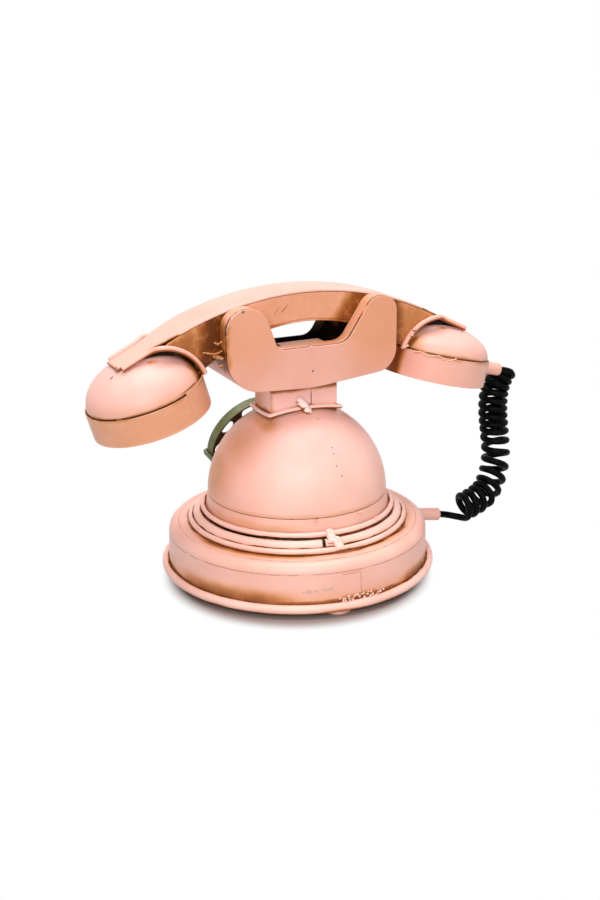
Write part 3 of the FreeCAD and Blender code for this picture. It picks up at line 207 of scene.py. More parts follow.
class Coat:
    """A node material under way, with the place on the piece in millimetres."""

    def __init__(self, name: str) -> None:
        """Starts a material with its place and its shader.

        Args:
            name: The material's name.
        """
        self.material = bpy.data.materials.new(name)
        self.material.use_nodes = True
        self.tree = self.material.node_tree
        self.tree.nodes.clear()
        coordinates = add_node(self.tree, "ShaderNodeTexCoord")
        self.normal = coordinates.outputs["Normal"]
        self.colour: bpy.types.NodeSocket | None = None
        self.place = add_node(self.tree, VECTOR, {"operation": "SCALE"},
                              {0: coordinates.outputs["Object"], "Scale": 1 / MM})
        self.shader = add_node(self.tree, "ShaderNodeBsdfPrincipled")
        add_node(self.tree, "ShaderNodeOutputMaterial", None, {"Surface": self.shader})

    def distance(self, stain: Stain, place: bpy.types.Node) -> bpy.types.Node | bpy.types.NodeSocket:
        """Works out how far a place is from the line or face that a stain keeps to.

        Args:
            stain: The stain.
            place: The node that gives the place.

        Returns:
            The node or socket that gives the distance.
        """
        tree = self.tree
        towards = Vector(stain.to).normalized()
        if stain.spread is Spread.FACING:
            look = add_node(tree, VECTOR, {"operation": "DOT_PRODUCT"}, {0: self.normal, 1: towards})
            return add_node(tree, MATH, {"operation": "SUBTRACT"}, {0: 1.0, 1: look.outputs["Value"]})
        away = add_node(tree, VECTOR, {"operation": "SUBTRACT"}, {0: place, 1: stain.at})
        if stain.spread is Spread.BALL:
            return add_node(tree, VECTOR, {"operation": "LENGTH"}, {0: away}).outputs["Value"]
        if stain.spread is Spread.LINE:
            run = Vector(stain.to) - Vector(stain.at)
            share = add_node(tree, VECTOR, {"operation": "DOT_PRODUCT"},
                             {0: away, 1: run / run.length_squared})
            held = add_node(tree, "ShaderNodeClamp", None, {0: share.outputs["Value"]})
            nearest = add_node(tree, VECTOR, {"operation": "SCALE"}, {0: run, "Scale": held})
            return add_node(tree, VECTOR, {"operation": "DISTANCE"}, {0: away, 1: nearest}).outputs["Value"]
        height = add_node(tree, VECTOR, {"operation": "DOT_PRODUCT"},
                          {0: away, 1: towards}).outputs["Value"]
        if stain.spread is Spread.PLANE:
            return add_node(tree, MATH, {"operation": "ABSOLUTE"}, {0: height})
        axis = add_node(tree, VECTOR, {"operation": "SCALE"}, {0: towards, "Scale": height})
        out = add_node(tree, VECTOR, {"operation": "DISTANCE"}, {0: away, 1: axis})
        beyond = add_node(tree, MATH, {"operation": "SUBTRACT"}, {0: out.outputs["Value"], 1: stain.radius})
        corner = add_node(tree, "ShaderNodeCombineXYZ", None, {0: beyond, 1: height})
        return add_node(tree, VECTOR, {"operation": "LENGTH"}, {0: corner}).outputs["Value"]

    def amount(self, stain: Stain, place: bpy.types.Node) -> bpy.types.Node:
        """Works out how much of a stain lies at a place.

        Args:
            stain: The stain.
            place: The node that gives the place.

        Returns:
            The node that gives the amount.
        """
        amount = add_node(self.tree, RANGE, SMOOTH,
                          {0: self.distance(stain, place), 1: stain.full, 2: stain.clear,
                           3: stain.strength, 4: 0.0})
        if stain.near is None:
            return amount
        side = add_node(self.tree, VECTOR, {"operation": "DISTANCE"}, {0: place, 1: stain.near})
        kept = add_node(self.tree, RANGE, SMOOTH,
                        {0: side.outputs["Value"], 1: FILLED_REACH * stain.reach, 2: stain.reach,
                         3: 1.0, 4: 0.0})
        return add_node(self.tree, MATH, {"operation": "MULTIPLY"}, {0: amount, 1: kept})

    def clouded(self, body: str, pale: str, size: float) -> None:
        """Lays the first coat, clouded between two tints.

        Args:
            body: Main colour.
            pale: Colour of the clouds.
            size: Width of the clouds.
        """
        noise = add_node(self.tree, NOISE, None,
                         {"Vector": self.place, "Scale": 1 / size, "Detail": 3.0})
        clouds = add_node(self.tree, RANGE, None, {0: noise, 1: CLOUD_NOISE[0], 2: CLOUD_NOISE[1]})
        self.colour = add_node(self.tree, MIX, {"data_type": "RGBA"},
                               {0: clouds, 6: linear(body), 7: linear(pale)}).outputs[2]

    def stained(self, stains: tuple[Stain, ...], layers: tuple[Layer, ...], wander: Pair,
                breaks: tuple[float, float, float]) -> None:
        """Lays stains over the paint, the strongest at each place.

        Args:
            stains: The stains.
            layers: Colours, from a stain's thin edge to its middle.
            wander: Width of the wandering of a stain's edge, and how far it wanders.
            breaks: Width of the breaks, and the noise at which nothing and all of a stain is left.
        """
        if not stains:
            return
        tree = self.tree
        noise = add_node(tree, NOISE, None, {"Vector": self.place, "Scale": 1 / wander[0], "Detail": 2.0})
        centred = add_node(tree, VECTOR, {"operation": "SUBTRACT"},
                           {0: noise.outputs["Color"], 1: (0.5, 0.5, 0.5)})
        place = add_node(tree, VECTOR, {"operation": "MULTIPLY_ADD"},
                         {0: centred, 1: (wander[1],) * 3, 2: self.place})
        most = self.amount(stains[0], place)
        for stain in stains[1:]:
            most = add_node(tree, MATH, {"operation": "MAXIMUM"}, {0: most, 1: self.amount(stain, place)})
        grit = add_node(tree, NOISE, None, {"Vector": self.place, "Scale": 1 / breaks[0], "Detail": 4.0})
        kept = add_node(tree, RANGE, None, {0: grit, 1: breaks[1], 2: breaks[2]})
        left = add_node(tree, MATH, {"operation": "MULTIPLY"}, {0: most, 1: kept})
        for layer in layers:
            shown = add_node(tree, RANGE, SMOOTH, {0: left, 1: layer.start, 2: layer.end})
            self.colour = add_node(tree, MIX, {"data_type": "RGBA"},
                                   {0: shown, 6: self.colour, 7: linear(layer.colour)}).outputs[2]

    def surface(self, grain: float, low: float, high: float, dent: float, height: float) -> None:
        """Gives the shader its colour, its uneven gloss and its fine relief.

        Args:
            grain: Width of the grain.
            low: Least roughness.
            high: Most roughness.
            dent: Width of the shallow dents.
            height: Height of the relief.
        """
        tree = self.tree
        fine = add_node(tree, NOISE, None, {"Vector": self.place, "Scale": 1 / grain, "Detail": 3.0})
        gloss = add_node(tree, RANGE, None,
                         {0: fine, 1: GLOSS_NOISE[0], 2: GLOSS_NOISE[1], 3: low, 4: high})
        broad = add_node(tree, NOISE, None, {"Vector": self.place, "Scale": 1 / dent, "Detail": 1.0})
        relief = add_node(tree, MATH, {"operation": "MULTIPLY_ADD"}, {0: fine, 1: GRAIN_SHARE, 2: broad})
        bump = add_node(tree, "ShaderNodeBump", None,
                        {"Strength": 1.0, "Distance": height * MM, "Height": relief})
        tree.links.new(self.colour, self.shader.inputs["Base Color"])
        tree.links.new(gloss.outputs[0], self.shader.inputs["Roughness"])
        tree.links.new(bump.outputs[0], self.shader.inputs["Normal"])


@dataclass(frozen=True)
class PinkEnamel:
    """Enamel sprayed on tinplate.

    To the eye it is a satin pink that clouds paler, with brown wash airbrushed into the corners, thin
    dark cracks along the seams and a few scuffs. The same stains also paint shade in crevices, under
    wires and on faces that look down, and painted black shade lies in slits and inside the cradle.
    Mottle is the width of the breaks in the wash, and the noise at which nothing of it is left.
    """

    name: str
    washes_and_shade: tuple[Stain, ...] = ()
    cracks: tuple[Stain, ...] = ()
    scuffs: tuple[Stain, ...] = ()
    painted_shade_black: tuple[Stain, ...] = ()
    gloss: float = 0.5
    mottle: Pair = (6.0, -1.0)
    body: str = "ECAB9A"
    pale: str = "F3BAAB"
    tan: str = "DC9258"
    brown: str = "84400A"
    dark: str = "241005"
    crack: str = "3A1B0C"
    scuff: str = "A79A9A"
    black: str = "050404"

    def material(self) -> bpy.types.Material:
        """Makes the material.

        Returns:
            The material.
        """
        coat = Coat(self.name)
        coat.shader.inputs["Specular IOR Level"].default_value = self.gloss
        coat.clouded(self.body, self.pale, size=22.0)
        # The wash's colours also serve the stains that paint shade.
        wash = (Layer(self.tan, -0.1, 0.6), Layer(self.brown, 0.25, 0.95), Layer(self.dark, 0.75, 1.25))
        coat.stained(self.washes_and_shade, wash, wander=(9.0, 2.0), breaks=(*self.mottle, 0.5))
        coat.stained(self.scuffs, (Layer(self.scuff),), wander=(2.0, 1.2), breaks=(1.3, 0.42, 0.62))
        coat.stained(self.cracks, (Layer(self.crack),), wander=(3.0, 0.2), breaks=(6.0, 0.3, 0.44))
        # Painted shade: black in slits, inside the cradle and under the top strip.
        coat.stained(self.painted_shade_black, (Layer(self.black),), wander=(6.0, 0.5), breaks=(30.0, -1.0, 0.0))
        # The grain of the spray is finer than a pixel, so it is drawn as coarse as it needs to show.
        coat.surface(grain=1.6, low=0.32, high=0.46, dent=9.0, height=0.1)
        return coat.material


@dataclass(frozen=True)
class OliveEnamel:
    """Old olive enamel on the dial: a dull, clouded green, with painted brown shade on its back."""

    name: str
    washes_and_shade: tuple[Stain, ...] = ()
    body: str = "565C32"
    pale: str = "6F754A"
    brown: str = "43270F"

    def material(self) -> bpy.types.Material:
        """Makes the material.

        Returns:
            The material.
        """
        coat = Coat(self.name)
        coat.clouded(self.body, self.pale, size=6.0)
        # Brown painted shade on the given stains.
        coat.stained(self.washes_and_shade, (Layer(self.brown),), wander=(3.0, 1.0), breaks=(3.0, 0.1, 0.45))
        # The grain is finer than a pixel, so it is drawn as coarse as it needs to show.
        coat.surface(grain=1.2, low=0.42, high=0.6, dent=6.0, height=0.1)
        return coat.material


@dataclass(frozen=True)
class PlatedSteel:
    """Dull plated steel of the dial's fastening: grey, finely mottled, a little tarnished."""

    name: str = "dull_plated_steel"
    body: str = "A6A39C"
    tarnish: str = "6B6255"

    def material(self) -> bpy.types.Material:
        """Makes the material.

        Returns:
            The material.
        """
        coat = Coat(self.name)
        coat.shader.inputs["Metallic"].default_value = 1.0
        coat.clouded(self.body, self.tarnish, size=2.5)
        # The grain is finer than a pixel, so it is drawn as coarse as it needs to show.
        coat.surface(grain=0.6, low=0.3, high=0.45, dent=4.0, height=0.02)
        return coat.material


@dataclass(frozen=True)
class CordVinyl:
    """Soft black vinyl of the curly cord: deep black and satin, with faint bloom where the curls rub."""

    name: str = "soft_black_vinyl"
    body: str = "020203"
    bloom: str = "070709"
    gloss: float = 0.05

    def material(self) -> bpy.types.Material:
        """Makes the material.

        Returns:
            The material.
        """
        coat = Coat(self.name)
        coat.shader.inputs["Specular IOR Level"].default_value = self.gloss
        coat.clouded(self.body, self.bloom, size=3.0)
        # The grain is finer than a pixel, so it is drawn as coarse as it needs to show.
        coat.surface(grain=0.5, low=0.38, high=0.5, dent=3.0, height=0.02)
        return coat.material


def show(mesh: bpy.types.Mesh, name: str, body: str) -> bpy.types.Object:
    """Puts a mesh in the scene as a piece.

    Args:
        mesh: The finished mesh, with its place in it.
        name: The piece's name.
        body: The body that it rides on.

    Returns:
        The piece.
    """
    piece = bpy.data.objects.new(name, mesh)
    bpy.context.scene.collection.objects.link(piece)
    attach(piece, body)
    log.info("%s rides on %s, %d faces", name, body, len(mesh.polygons))
    return piece


def painted(names: tuple[str, ...], material: bpy.types.Material) -> None:
    """Gives CAD nodes a finish.

    Args:
        names: The nodes' names.
        material: The finish.
    """
    for name in names:
        mesh = frame["nodes"][name].data
        mesh.materials.clear()
        mesh.materials.append(material)
        log.info("%s keeps its solid, in %s", name, material.name)


def rolled(names: tuple[str, ...], width: float, material: bpy.types.Material) -> None:
    """Shows sheets with rolled edges in place of their sharp solids.

    Args:
        names: The nodes' names.
        width: Width of the rolled edge.
        material: The finish.
    """
    for name in names:
        node = frame["nodes"][name]
        mesh = node.data.copy()
        mesh.materials.clear()
        mesh.materials.append(material)
        if "custom_normal" in mesh.attributes:
            mesh.attributes.remove(mesh.attributes["custom_normal"])
        sheet = bmesh.new()
        sheet.from_mesh(mesh)
        bmesh.ops.remove_doubles(sheet, verts=sheet.verts, dist=SAME_POINT * MM)
        bmesh.ops.dissolve_limit(sheet, angle_limit=FLAT_ANGLE, verts=sheet.verts, edges=sheet.edges)
        for face in sheet.faces:
            face.smooth = True
        sheet.to_mesh(mesh)
        sheet.free()
        piece = show(mesh, f"{name}_sheet", node["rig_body"])
        edges = piece.modifiers.new("rolled_edges", "BEVEL")
        edges.width = width * MM
        edges.segments = EDGE_FACES
        edges.limit_method = "ANGLE"
        edges.angle_limit = EDGE_ANGLE
        edges.use_clamp_overlap = False
        edges.harden_normals = True
        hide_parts(name)


def skinned(name: str, runs: list[list[list[Vector]]]) -> bpy.types.Mesh:
    """Makes a mesh of closed forms, each skinned over outlines and closed at both ends.

    Args:
        name: The mesh's name.
        runs: For each form, the points of its outlines in order, in millimetres.

    Returns:
        The mesh.
    """
    skin = bmesh.new()
    for run in runs:
        rows = [[skin.verts.new(point * MM) for point in outline] for outline in run]
        for row, ahead in zip(rows, rows[1:]):
            for side in range(len(row)):
                after = (side + 1) % len(row)
                skin.faces.new((row[side], row[after], ahead[after], ahead[side]))
        skin.faces.new(rows[0])
        skin.faces.new(rows[-1])
    bmesh.ops.recalc_face_normals(skin, faces=skin.faces)
    mesh = bpy.data.meshes.new(name)
    skin.to_mesh(mesh)
    skin.free()
    return mesh


def spline_curve(route: list[Vector], divisions: int) -> bpy.types.Curve:
    """Makes a smooth spline of control points.

    Args:
        route: The control points, in millimetres.
        divisions: Points for each control point.

    Returns:
        The curve, in metres.
    """
    curve = bpy.data.curves.new("route", "CURVE")
    curve.dimensions = "3D"
    curve.resolution_u = divisions
    spline = curve.splines.new("NURBS")
    spline.points.add(len(route) - 1)
    for point, place in zip(spline.points, route):
        point.co = (*(place * MM), 1.0)
    spline.order_u = 3
    spline.use_endpoint_u = True
    spline.resolution_u = divisions
    return curve


def spline_points(route: list[Vector], divisions: int) -> list[Vector]:
    """Reads the points of a smooth spline.

    Args:
        route: Its control points, in millimetres.
        divisions: Points for each control point.

    Returns:
        Points along the spline, in millimetres.
    """
    line = bpy.data.objects.new("route", spline_curve(route, divisions))
    bpy.context.scene.collection.objects.link(line)
    evaluated = line.evaluated_get(bpy.context.evaluated_depsgraph_get())
    read = bpy.data.meshes.new_from_object(evaluated)
    points = [vertex.co / MM for vertex in read.vertices]
    bpy.data.meshes.remove(read)
    bpy.data.curves.remove(line.data)
    return points


class SolderTree:
    """Geometry nodes that drop uneven beads of solder along a path and melt them into each other."""

    def __init__(self) -> None:
        """Builds the tree with its named inputs."""
        tree = bpy.data.node_groups.new("solder_run", "GeometryNodeTree")
        self.tree = tree
        self.inputs: dict[str, str] = {}
        tree.interface.new_socket("Geometry", in_out="OUTPUT", socket_type="NodeSocketGeometry")
        for name, kind in (("Path", "Geometry"), ("Spacing", "Float"), ("Bead", "Float"),
                           ("Scatter", "Float"), ("Melt", "Float"), ("Seed", "Int"),
                           ("Finish", "Material")):
            socket = tree.interface.new_socket(name, in_out="INPUT", socket_type=f"NodeSocket{kind}")
            self.inputs[name] = socket.identifier
        given = add_node(tree, "NodeGroupInput").outputs
        path = add_node(tree, "GeometryNodeMeshToCurve", None, {0: given["Path"]})
        drops = add_node(tree, "GeometryNodeResampleCurve", {"mode": "LENGTH"},
                         {"Curve": path, "Length": given["Spacing"]})
        # Each drop lies aside, turned by radians and sized as the one seed says.
        aside, turn, size = (
            add_node(tree, RANDOM, {"data_type": "FLOAT_VECTOR"},
                     {0: (low,) * 3, 1: (high,) * 3, "Seed": given["Seed"]})
            for low, high in ((-1.0, 1.0), (0.0, 6.0), (0.7, 1.15)))
        shift = add_node(tree, VECTOR, {"operation": "SCALE"}, {0: aside, "Scale": given["Scatter"]})
        loose = add_node(tree, "GeometryNodeSetPosition", None, {"Geometry": drops, "Offset": shift})
        bead = add_node(tree, "GeometryNodeMeshIcoSphere", None,
                        {"Radius": given["Bead"], "Subdivisions": 2})
        beads = add_node(tree, "GeometryNodeInstanceOnPoints", None,
                         {"Points": loose, "Instance": bead, "Rotation": turn, "Scale": size})
        apart = add_node(tree, "GeometryNodeRealizeInstances", None, {0: beads})
        pool = add_node(tree, "GeometryNodeMeshToVolume", {"resolution_mode": "VOXEL_SIZE"},
                        {"Mesh": apart, "Voxel Size": given["Melt"], "Interior Band Width": given["Bead"]})
        skin = add_node(tree, "GeometryNodeVolumeToMesh", None, {"Volume": pool})
        smooth = add_node(tree, "GeometryNodeSetShadeSmooth", None, {0: skin})
        solid = add_node(tree, "GeometryNodeRealizeInstances", None, {0: smooth})
        finished = add_node(tree, "GeometryNodeSetMaterial", None, {0: solid, "Material": given["Finish"]})
        add_node(tree, "NodeGroupOutput", None, {0: finished})

    def run(self, name: str, body: str, paths: list[list[Vector]], sizes: dict[str, float], seed: int,
            finish: bpy.types.Material) -> bpy.types.Object:
        """Drops beads along paths as one piece.

        Args:
            name: The piece's name.
            body: The body that it rides on.
            paths: Points of each path, in millimetres.
            sizes: Spacing, bead radius, scatter and melt, in millimetres.
            seed: Seed of the unevenness.
            finish: The beads' material.

        Returns:
            The piece.
        """
        lines = bmesh.new()
        for path in paths:
            knots = [lines.verts.new(point * MM) for point in path]
            for start, end in zip(knots, knots[1:]):
                lines.edges.new((start, end))
        mesh = bpy.data.meshes.new(name)
        lines.to_mesh(mesh)
        lines.free()
        holder = bpy.data.objects.new("solder_path", mesh)
        bpy.context.scene.collection.objects.link(holder)
        nodes = holder.modifiers.new("solder", "NODES")
        nodes.node_group = self.tree
        for key, value in sizes.items():
            nodes[self.inputs[key]] = value * MM
        nodes[self.inputs["Seed"]] = seed
        nodes[self.inputs["Finish"]] = finish
        evaluated = holder.evaluated_get(bpy.context.evaluated_depsgraph_get())
        made = bpy.data.meshes.new_from_object(evaluated)
        made.name = name
        bpy.data.objects.remove(holder)
        return show(made, name, body)


@dataclass
class Turned:
    """A round part's place: its centre and its axis, in millimetres."""

    centre: Point
    axis: Point = UP
    lap_rows: int = 24
    lap_sink: float = 0.2

    def at(self, angle: float, radius: float, height: float) -> Vector:
        """Finds a point on the part.

        Args:
            angle: Degrees from X about the axis.
            radius: Distance from the axis.
            height: Height along the axis from the centre.

        Returns:
            The point, in millimetres.
        """
        axis = Vector(self.axis).normalized()
        across = Vector((0.0, 1.0, 0.0))
        along = across.cross(axis)
        turn = math.radians(angle)
        out = along * math.cos(turn) + across * math.sin(turn)
        return Vector(self.centre) + out * radius + axis * height

    def lap(self, name: str, angles: Pair, foot: Pair, top: Pair, thickness: float) -> bpy.types.Mesh:
        """Makes the lapped end of a bent sheet, which thins away to nothing behind.

        Args:
            name: The mesh's name.
            angles: Degrees at the thin end and at the cut end.
            foot: Radius and height of the lower edge.
            top: Radius and height of the upper edge.
            thickness: Thickness at the cut end.

        Returns:
            The mesh.
        """
        outlines = []
        for row in range(self.lap_rows + 1):
            angle = angles[0] + (angles[1] - angles[0]) * row / self.lap_rows
            stand = thickness * row / self.lap_rows
            corners = ((foot[0] - self.lap_sink, foot[1]), (foot[0] + stand, foot[1]),
                       (top[0] + stand, top[1]), (top[0] - self.lap_sink, top[1]))
            outlines.append([self.at(angle, *corner) for corner in corners])
        return skinned(name, [outlines])


@dataclass
class Base:
    """Drum foot with its wires and hoop: radius and height of the rings that wash and seams follow."""

    drum_foot: Pair = (50.6, 5.2)
    drum_top: Pair = (50.25, 16.0)
    shoulder_top: Pair = (46.4, 19.85)
    deck_corner: Pair = (42.5, 20.5)
    under_outer_wire: Pair = (41.5, 20.25)
    outer_wire_to_hoop: Pair = (40.46, 21.7)
    hoop_middle: Pair = (38.6, 22.45)
    hoop_to_inner_wire: Pair = (37.0, 24.3)
    inner_wire_to_collar: Pair = (35.8, 26.2)
    collar_foot: Pair = (35.7, 27.0)
    collar_middle: Pair = (35.7, 28.5)
    collar_top: Pair = (35.3, 31.2)
    over_rim_wire: Pair = (50.6, 4.9)
    rim_underside: Pair = (52.0, 1.7)
    hoop_left: Point = (31.0, 20.0, 24.0)
    edge_width: float = 0.22
    lap_angles: Pair = (62.0, 91.9)
    lap_foot: Pair = (50.58, 5.2)
    lap_top: Pair = (50.28, 15.0)
    lap_thickness: float = 0.2
    cut_angle: float = 92.0
    cut_foot: Pair = (50.6, 5.6)
    slit_angle: float = 79.0
    tabs: tuple[tuple[Pair, Pair, Pair], ...] = (((85.5, 87.5), (42.3, 22.0), (39.6, 24.2)),
                                                 ((82.5, 84.5), (40.0, 24.0), (37.1, 26.8)))
    spatter_start: float = 82.5
    spatter_step: float = 1.2
    spatter_count: int = 17
    spatter_radius: float = 51.3
    spatter_rows: Pair = (4.7, 6.2)
    spatter_rise: float = 0.5
    spatter_turn: float = 2.3
    tack_reach: float = 1.2
    tacks: tuple[tuple[float, Pair], ...] = ((76.0, (35.5, 30.8)), (106.0, (35.5, 30.9)),
                                             (118.0, (36.7, 26.8)))
    drum: Turned = field(default_factory=lambda: Turned(ORIGIN))

    def ring(self, place: Pair, full: float, clear: float, strength: float,
             near: Point | None = None, reach: float = 0.0) -> Stain:
        """Gives a stain that runs round the drum.

        Args:
            place: Radius and height of the ring.
            full: Distance within which it is at full strength.
            clear: Distance at which it is gone.
            strength: Its full strength.
            near: Middle of the part that it keeps to.
            reach: How far that part goes.

        Returns:
            The stain.
        """
        return Stain(Spread.RING, (0.0, 0.0, place[1]), full, clear, strength, UP, place[0], near, reach)

    def sheet_finish(self) -> PinkEnamel:
        """Gives the enamel of the drum's sheets with its stains.

        Returns:
            The finish.
        """
        foot_left, foot_right = (41.0, 29.0, 5.0), (-39.0, 32.0, 5.0)
        deck_left, deck_right = (34.0, 25.0, 21.0), (-32.0, 28.0, 21.0)
        cut_corner = tuple(self.drum.at(self.cut_angle, *self.cut_foot))
        washes_and_shade = (
            self.ring(self.drum_foot, 0.3, 1.7, 0.75),
            self.ring(self.drum_foot, 0.6, 8.0, 0.2),
            self.ring(self.drum_foot, 0.3, 7.0, 0.8, foot_left, 38.0),
            self.ring(self.drum_foot, 0.6, 5.6, 0.85, foot_right, 36.0),
            self.ring(self.cut_foot, 0.4, 2.6, 0.6, cut_corner, 13.0),
            self.ring(self.deck_corner, 0.3, 1.5, 0.9),
            self.ring(self.deck_corner, 0.5, 3.6, 0.7, deck_left, 40.0),
            self.ring(self.deck_corner, 0.5, 3.6, 0.4, deck_right, 40.0),
            # Painted shade: the upright collar a touch darker.
            self.ring(self.collar_middle, 2.4, 4.4, 0.08),
            self.ring(self.collar_foot, 1.0, 3.6, 0.3, (30.0, 18.0, 28.0), 34.0),
            # Painted shade: a dark gap between the hoop and the inner wire, darkest on the left.
            self.ring(self.hoop_to_inner_wire, 1.2, 1.8, 0.8),
            self.ring(self.hoop_to_inner_wire, 1.3, 1.9, 1.3, self.hoop_left, 54.0),
        )
        cut_end = [tuple(self.drum.at(self.cut_angle, 50.45, height)) for height in (5.4, 14.9)]
        lap_top = [tuple(self.drum.at(angle, 50.4, 15.1)) for angle in (83.5, 91.6)]
        cracks = (
            self.ring(self.drum_top, 0.1, 0.3, 0.45),
            self.ring(self.shoulder_top, 0.1, 0.3, 0.7, (10.0, 46.0, 20.0), 60.0),
            self.ring(self.collar_top, 0.1, 0.34, 0.85),
            Stain(Spread.LINE, cut_end[0], 0.1, 0.3, 0.6, cut_end[1]),
            Stain(Spread.LINE, lap_top[0], 0.1, 0.3, 0.4, lap_top[1]),
        )
        scuff = [tuple(self.drum.at(angle, 50.6, height)) for angle, height in ((68.0, 9.4), (79.0, 10.3))]
        scuffs = (Stain(Spread.LINE, scuff[0], 0.4, 1.4, 0.6, scuff[1]),)
        return PinkEnamel("sprayed_enamel_drum", washes_and_shade, cracks, scuffs, body="F0B2A2", pale="F6C0B1")

    def wire_finish(self) -> PinkEnamel:
        """Gives the enamel of the rings, with painted shade where they touch and under the rim wire.

        Returns:
            The finish.
        """
        # Painted shade in the crevices where the rings touch and under the rim wire.
        washes_and_shade = (
            self.ring(self.hoop_to_inner_wire, 0.6, 1.1, 0.85),
            self.ring(self.hoop_to_inner_wire, 0.7, 1.2, 1.3, self.hoop_left, 46.0),
            self.ring(self.outer_wire_to_hoop, 0.45, 1.0, 0.95),
            self.ring(self.under_outer_wire, 0.6, 1.3, 0.9),
            self.ring(self.inner_wire_to_collar, 0.45, 1.0, 0.9),
            self.ring(self.over_rim_wire, 0.4, 0.9, 0.85),
            self.ring(self.rim_underside, 0.5, 2.0, 0.7),
        )
        # The rings' body and pale tints, paler than the drum's, are a painted highlight.
        return PinkEnamel("sprayed_enamel_rings", washes_and_shade, body="F4BCAD", pale="F9CBBE")

    def hoop_finish(self) -> PinkEnamel:
        """Gives the enamel of the split hoop, with painted black shade in its slit.

        Returns:
            The finish.
        """
        slit = tuple(self.drum.at(self.slit_angle, *self.hoop_middle))
        across = Matrix.Rotation(math.radians(self.slit_angle), 3, "Z") @ Vector((0.0, 1.0, 0.0))
        # Painted shade: black in the hoop's slit.
        painted_shade_black = (Stain(Spread.PLANE, slit, 0.62, 0.72, 1.0, tuple(across), near=slit, reach=7.0),)
        return replace(self.wire_finish(), name="sprayed_enamel_hoop", painted_shade_black=painted_shade_black)

    def tab_path(self, angles: Pair, low: Pair, high: Pair) -> list[Vector]:
        """Runs a path over a tab across two rings.

        Args:
            angles: Degrees of the tab's two sides.
            low: Radius and height of its lower end.
            high: Radius and height of its upper end.

        Returns:
            The path's points, in millimetres.
        """
        corners = ((angles[0], low), (angles[0], high), (angles[1], high), (angles[1], low))
        return [self.drum.at(angle, *place) for angle, place in corners]

    def spatter_path(self, height: float) -> list[Vector]:
        """Runs a wavering path along the drum's foot.

        Args:
            height: Height of the path.

        Returns:
            The path's points, in millimetres.
        """
        return [self.drum.at(self.spatter_start + self.spatter_step * step, self.spatter_radius,
                             height + self.spatter_rise * math.sin(self.spatter_turn * step))
                for step in range(self.spatter_count)]

    def build(self, solder: SolderTree) -> None:
        """Dresses the drum, its rings and its feet, and adds its lap and solder.

        Args:
            solder: The tree that drops solder.
        """
        sheet = self.sheet_finish().material()
        rolled(("base_band", "base_shoulder", "dome_collar", "base_deck"), self.edge_width, sheet)
        painted(("base_rim_wire", "outer_wire_ring", "inner_wire_ring"), self.wire_finish().material())
        painted(("hoop_ring",), self.hoop_finish().material())
        painted(("base_plate", "base_feet"), sheet)
        painted(("base_cord_ferrule",), PinkEnamel("sprayed_enamel_base_ferrule", body="E59C80").material())
        lap = self.drum.lap("drum_lap", self.lap_angles, self.lap_foot, self.lap_top, self.lap_thickness)
        lap.materials.append(sheet)
        show(lap, "drum_lap", "base")
        # Painted shade on the faces of the solder and the spatter that look down.
        under = (shade_beneath(0.4, 1.0, 0.6),)
        pale = PinkEnamel("sprayed_solder", under, body="F0C4B8", pale="F8D6CC").material()
        blobs = solder.run("ring_solder", "base", [self.tab_path(*tab) for tab in self.tabs],
                           {"Spacing": 0.6, "Bead": 1.15, "Scatter": 0.15, "Melt": 0.2}, 4, pale)
        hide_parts("hoop_tabs")
        crumbs = PinkEnamel("sprayed_spatter", under, body="E6B6A7", pale="F2CFC4").material()
        solder.run("weld_spatter", "base", [self.spatter_path(height) for height in self.spatter_rows],
                   {"Spacing": 0.7, "Bead": 0.5, "Scatter": 0.65, "Melt": 0.14}, 3, crumbs)
        tacks = [[self.drum.at(angle + side * self.tack_reach, *place) for side in (-1.0, 1.0)]
                 for angle, place in self.tacks]
        solder.run("collar_tacks", "base", tacks,
                   {"Spacing": 0.4, "Bead": 0.5, "Scatter": 0.2, "Melt": 0.14}, 5, sheet)


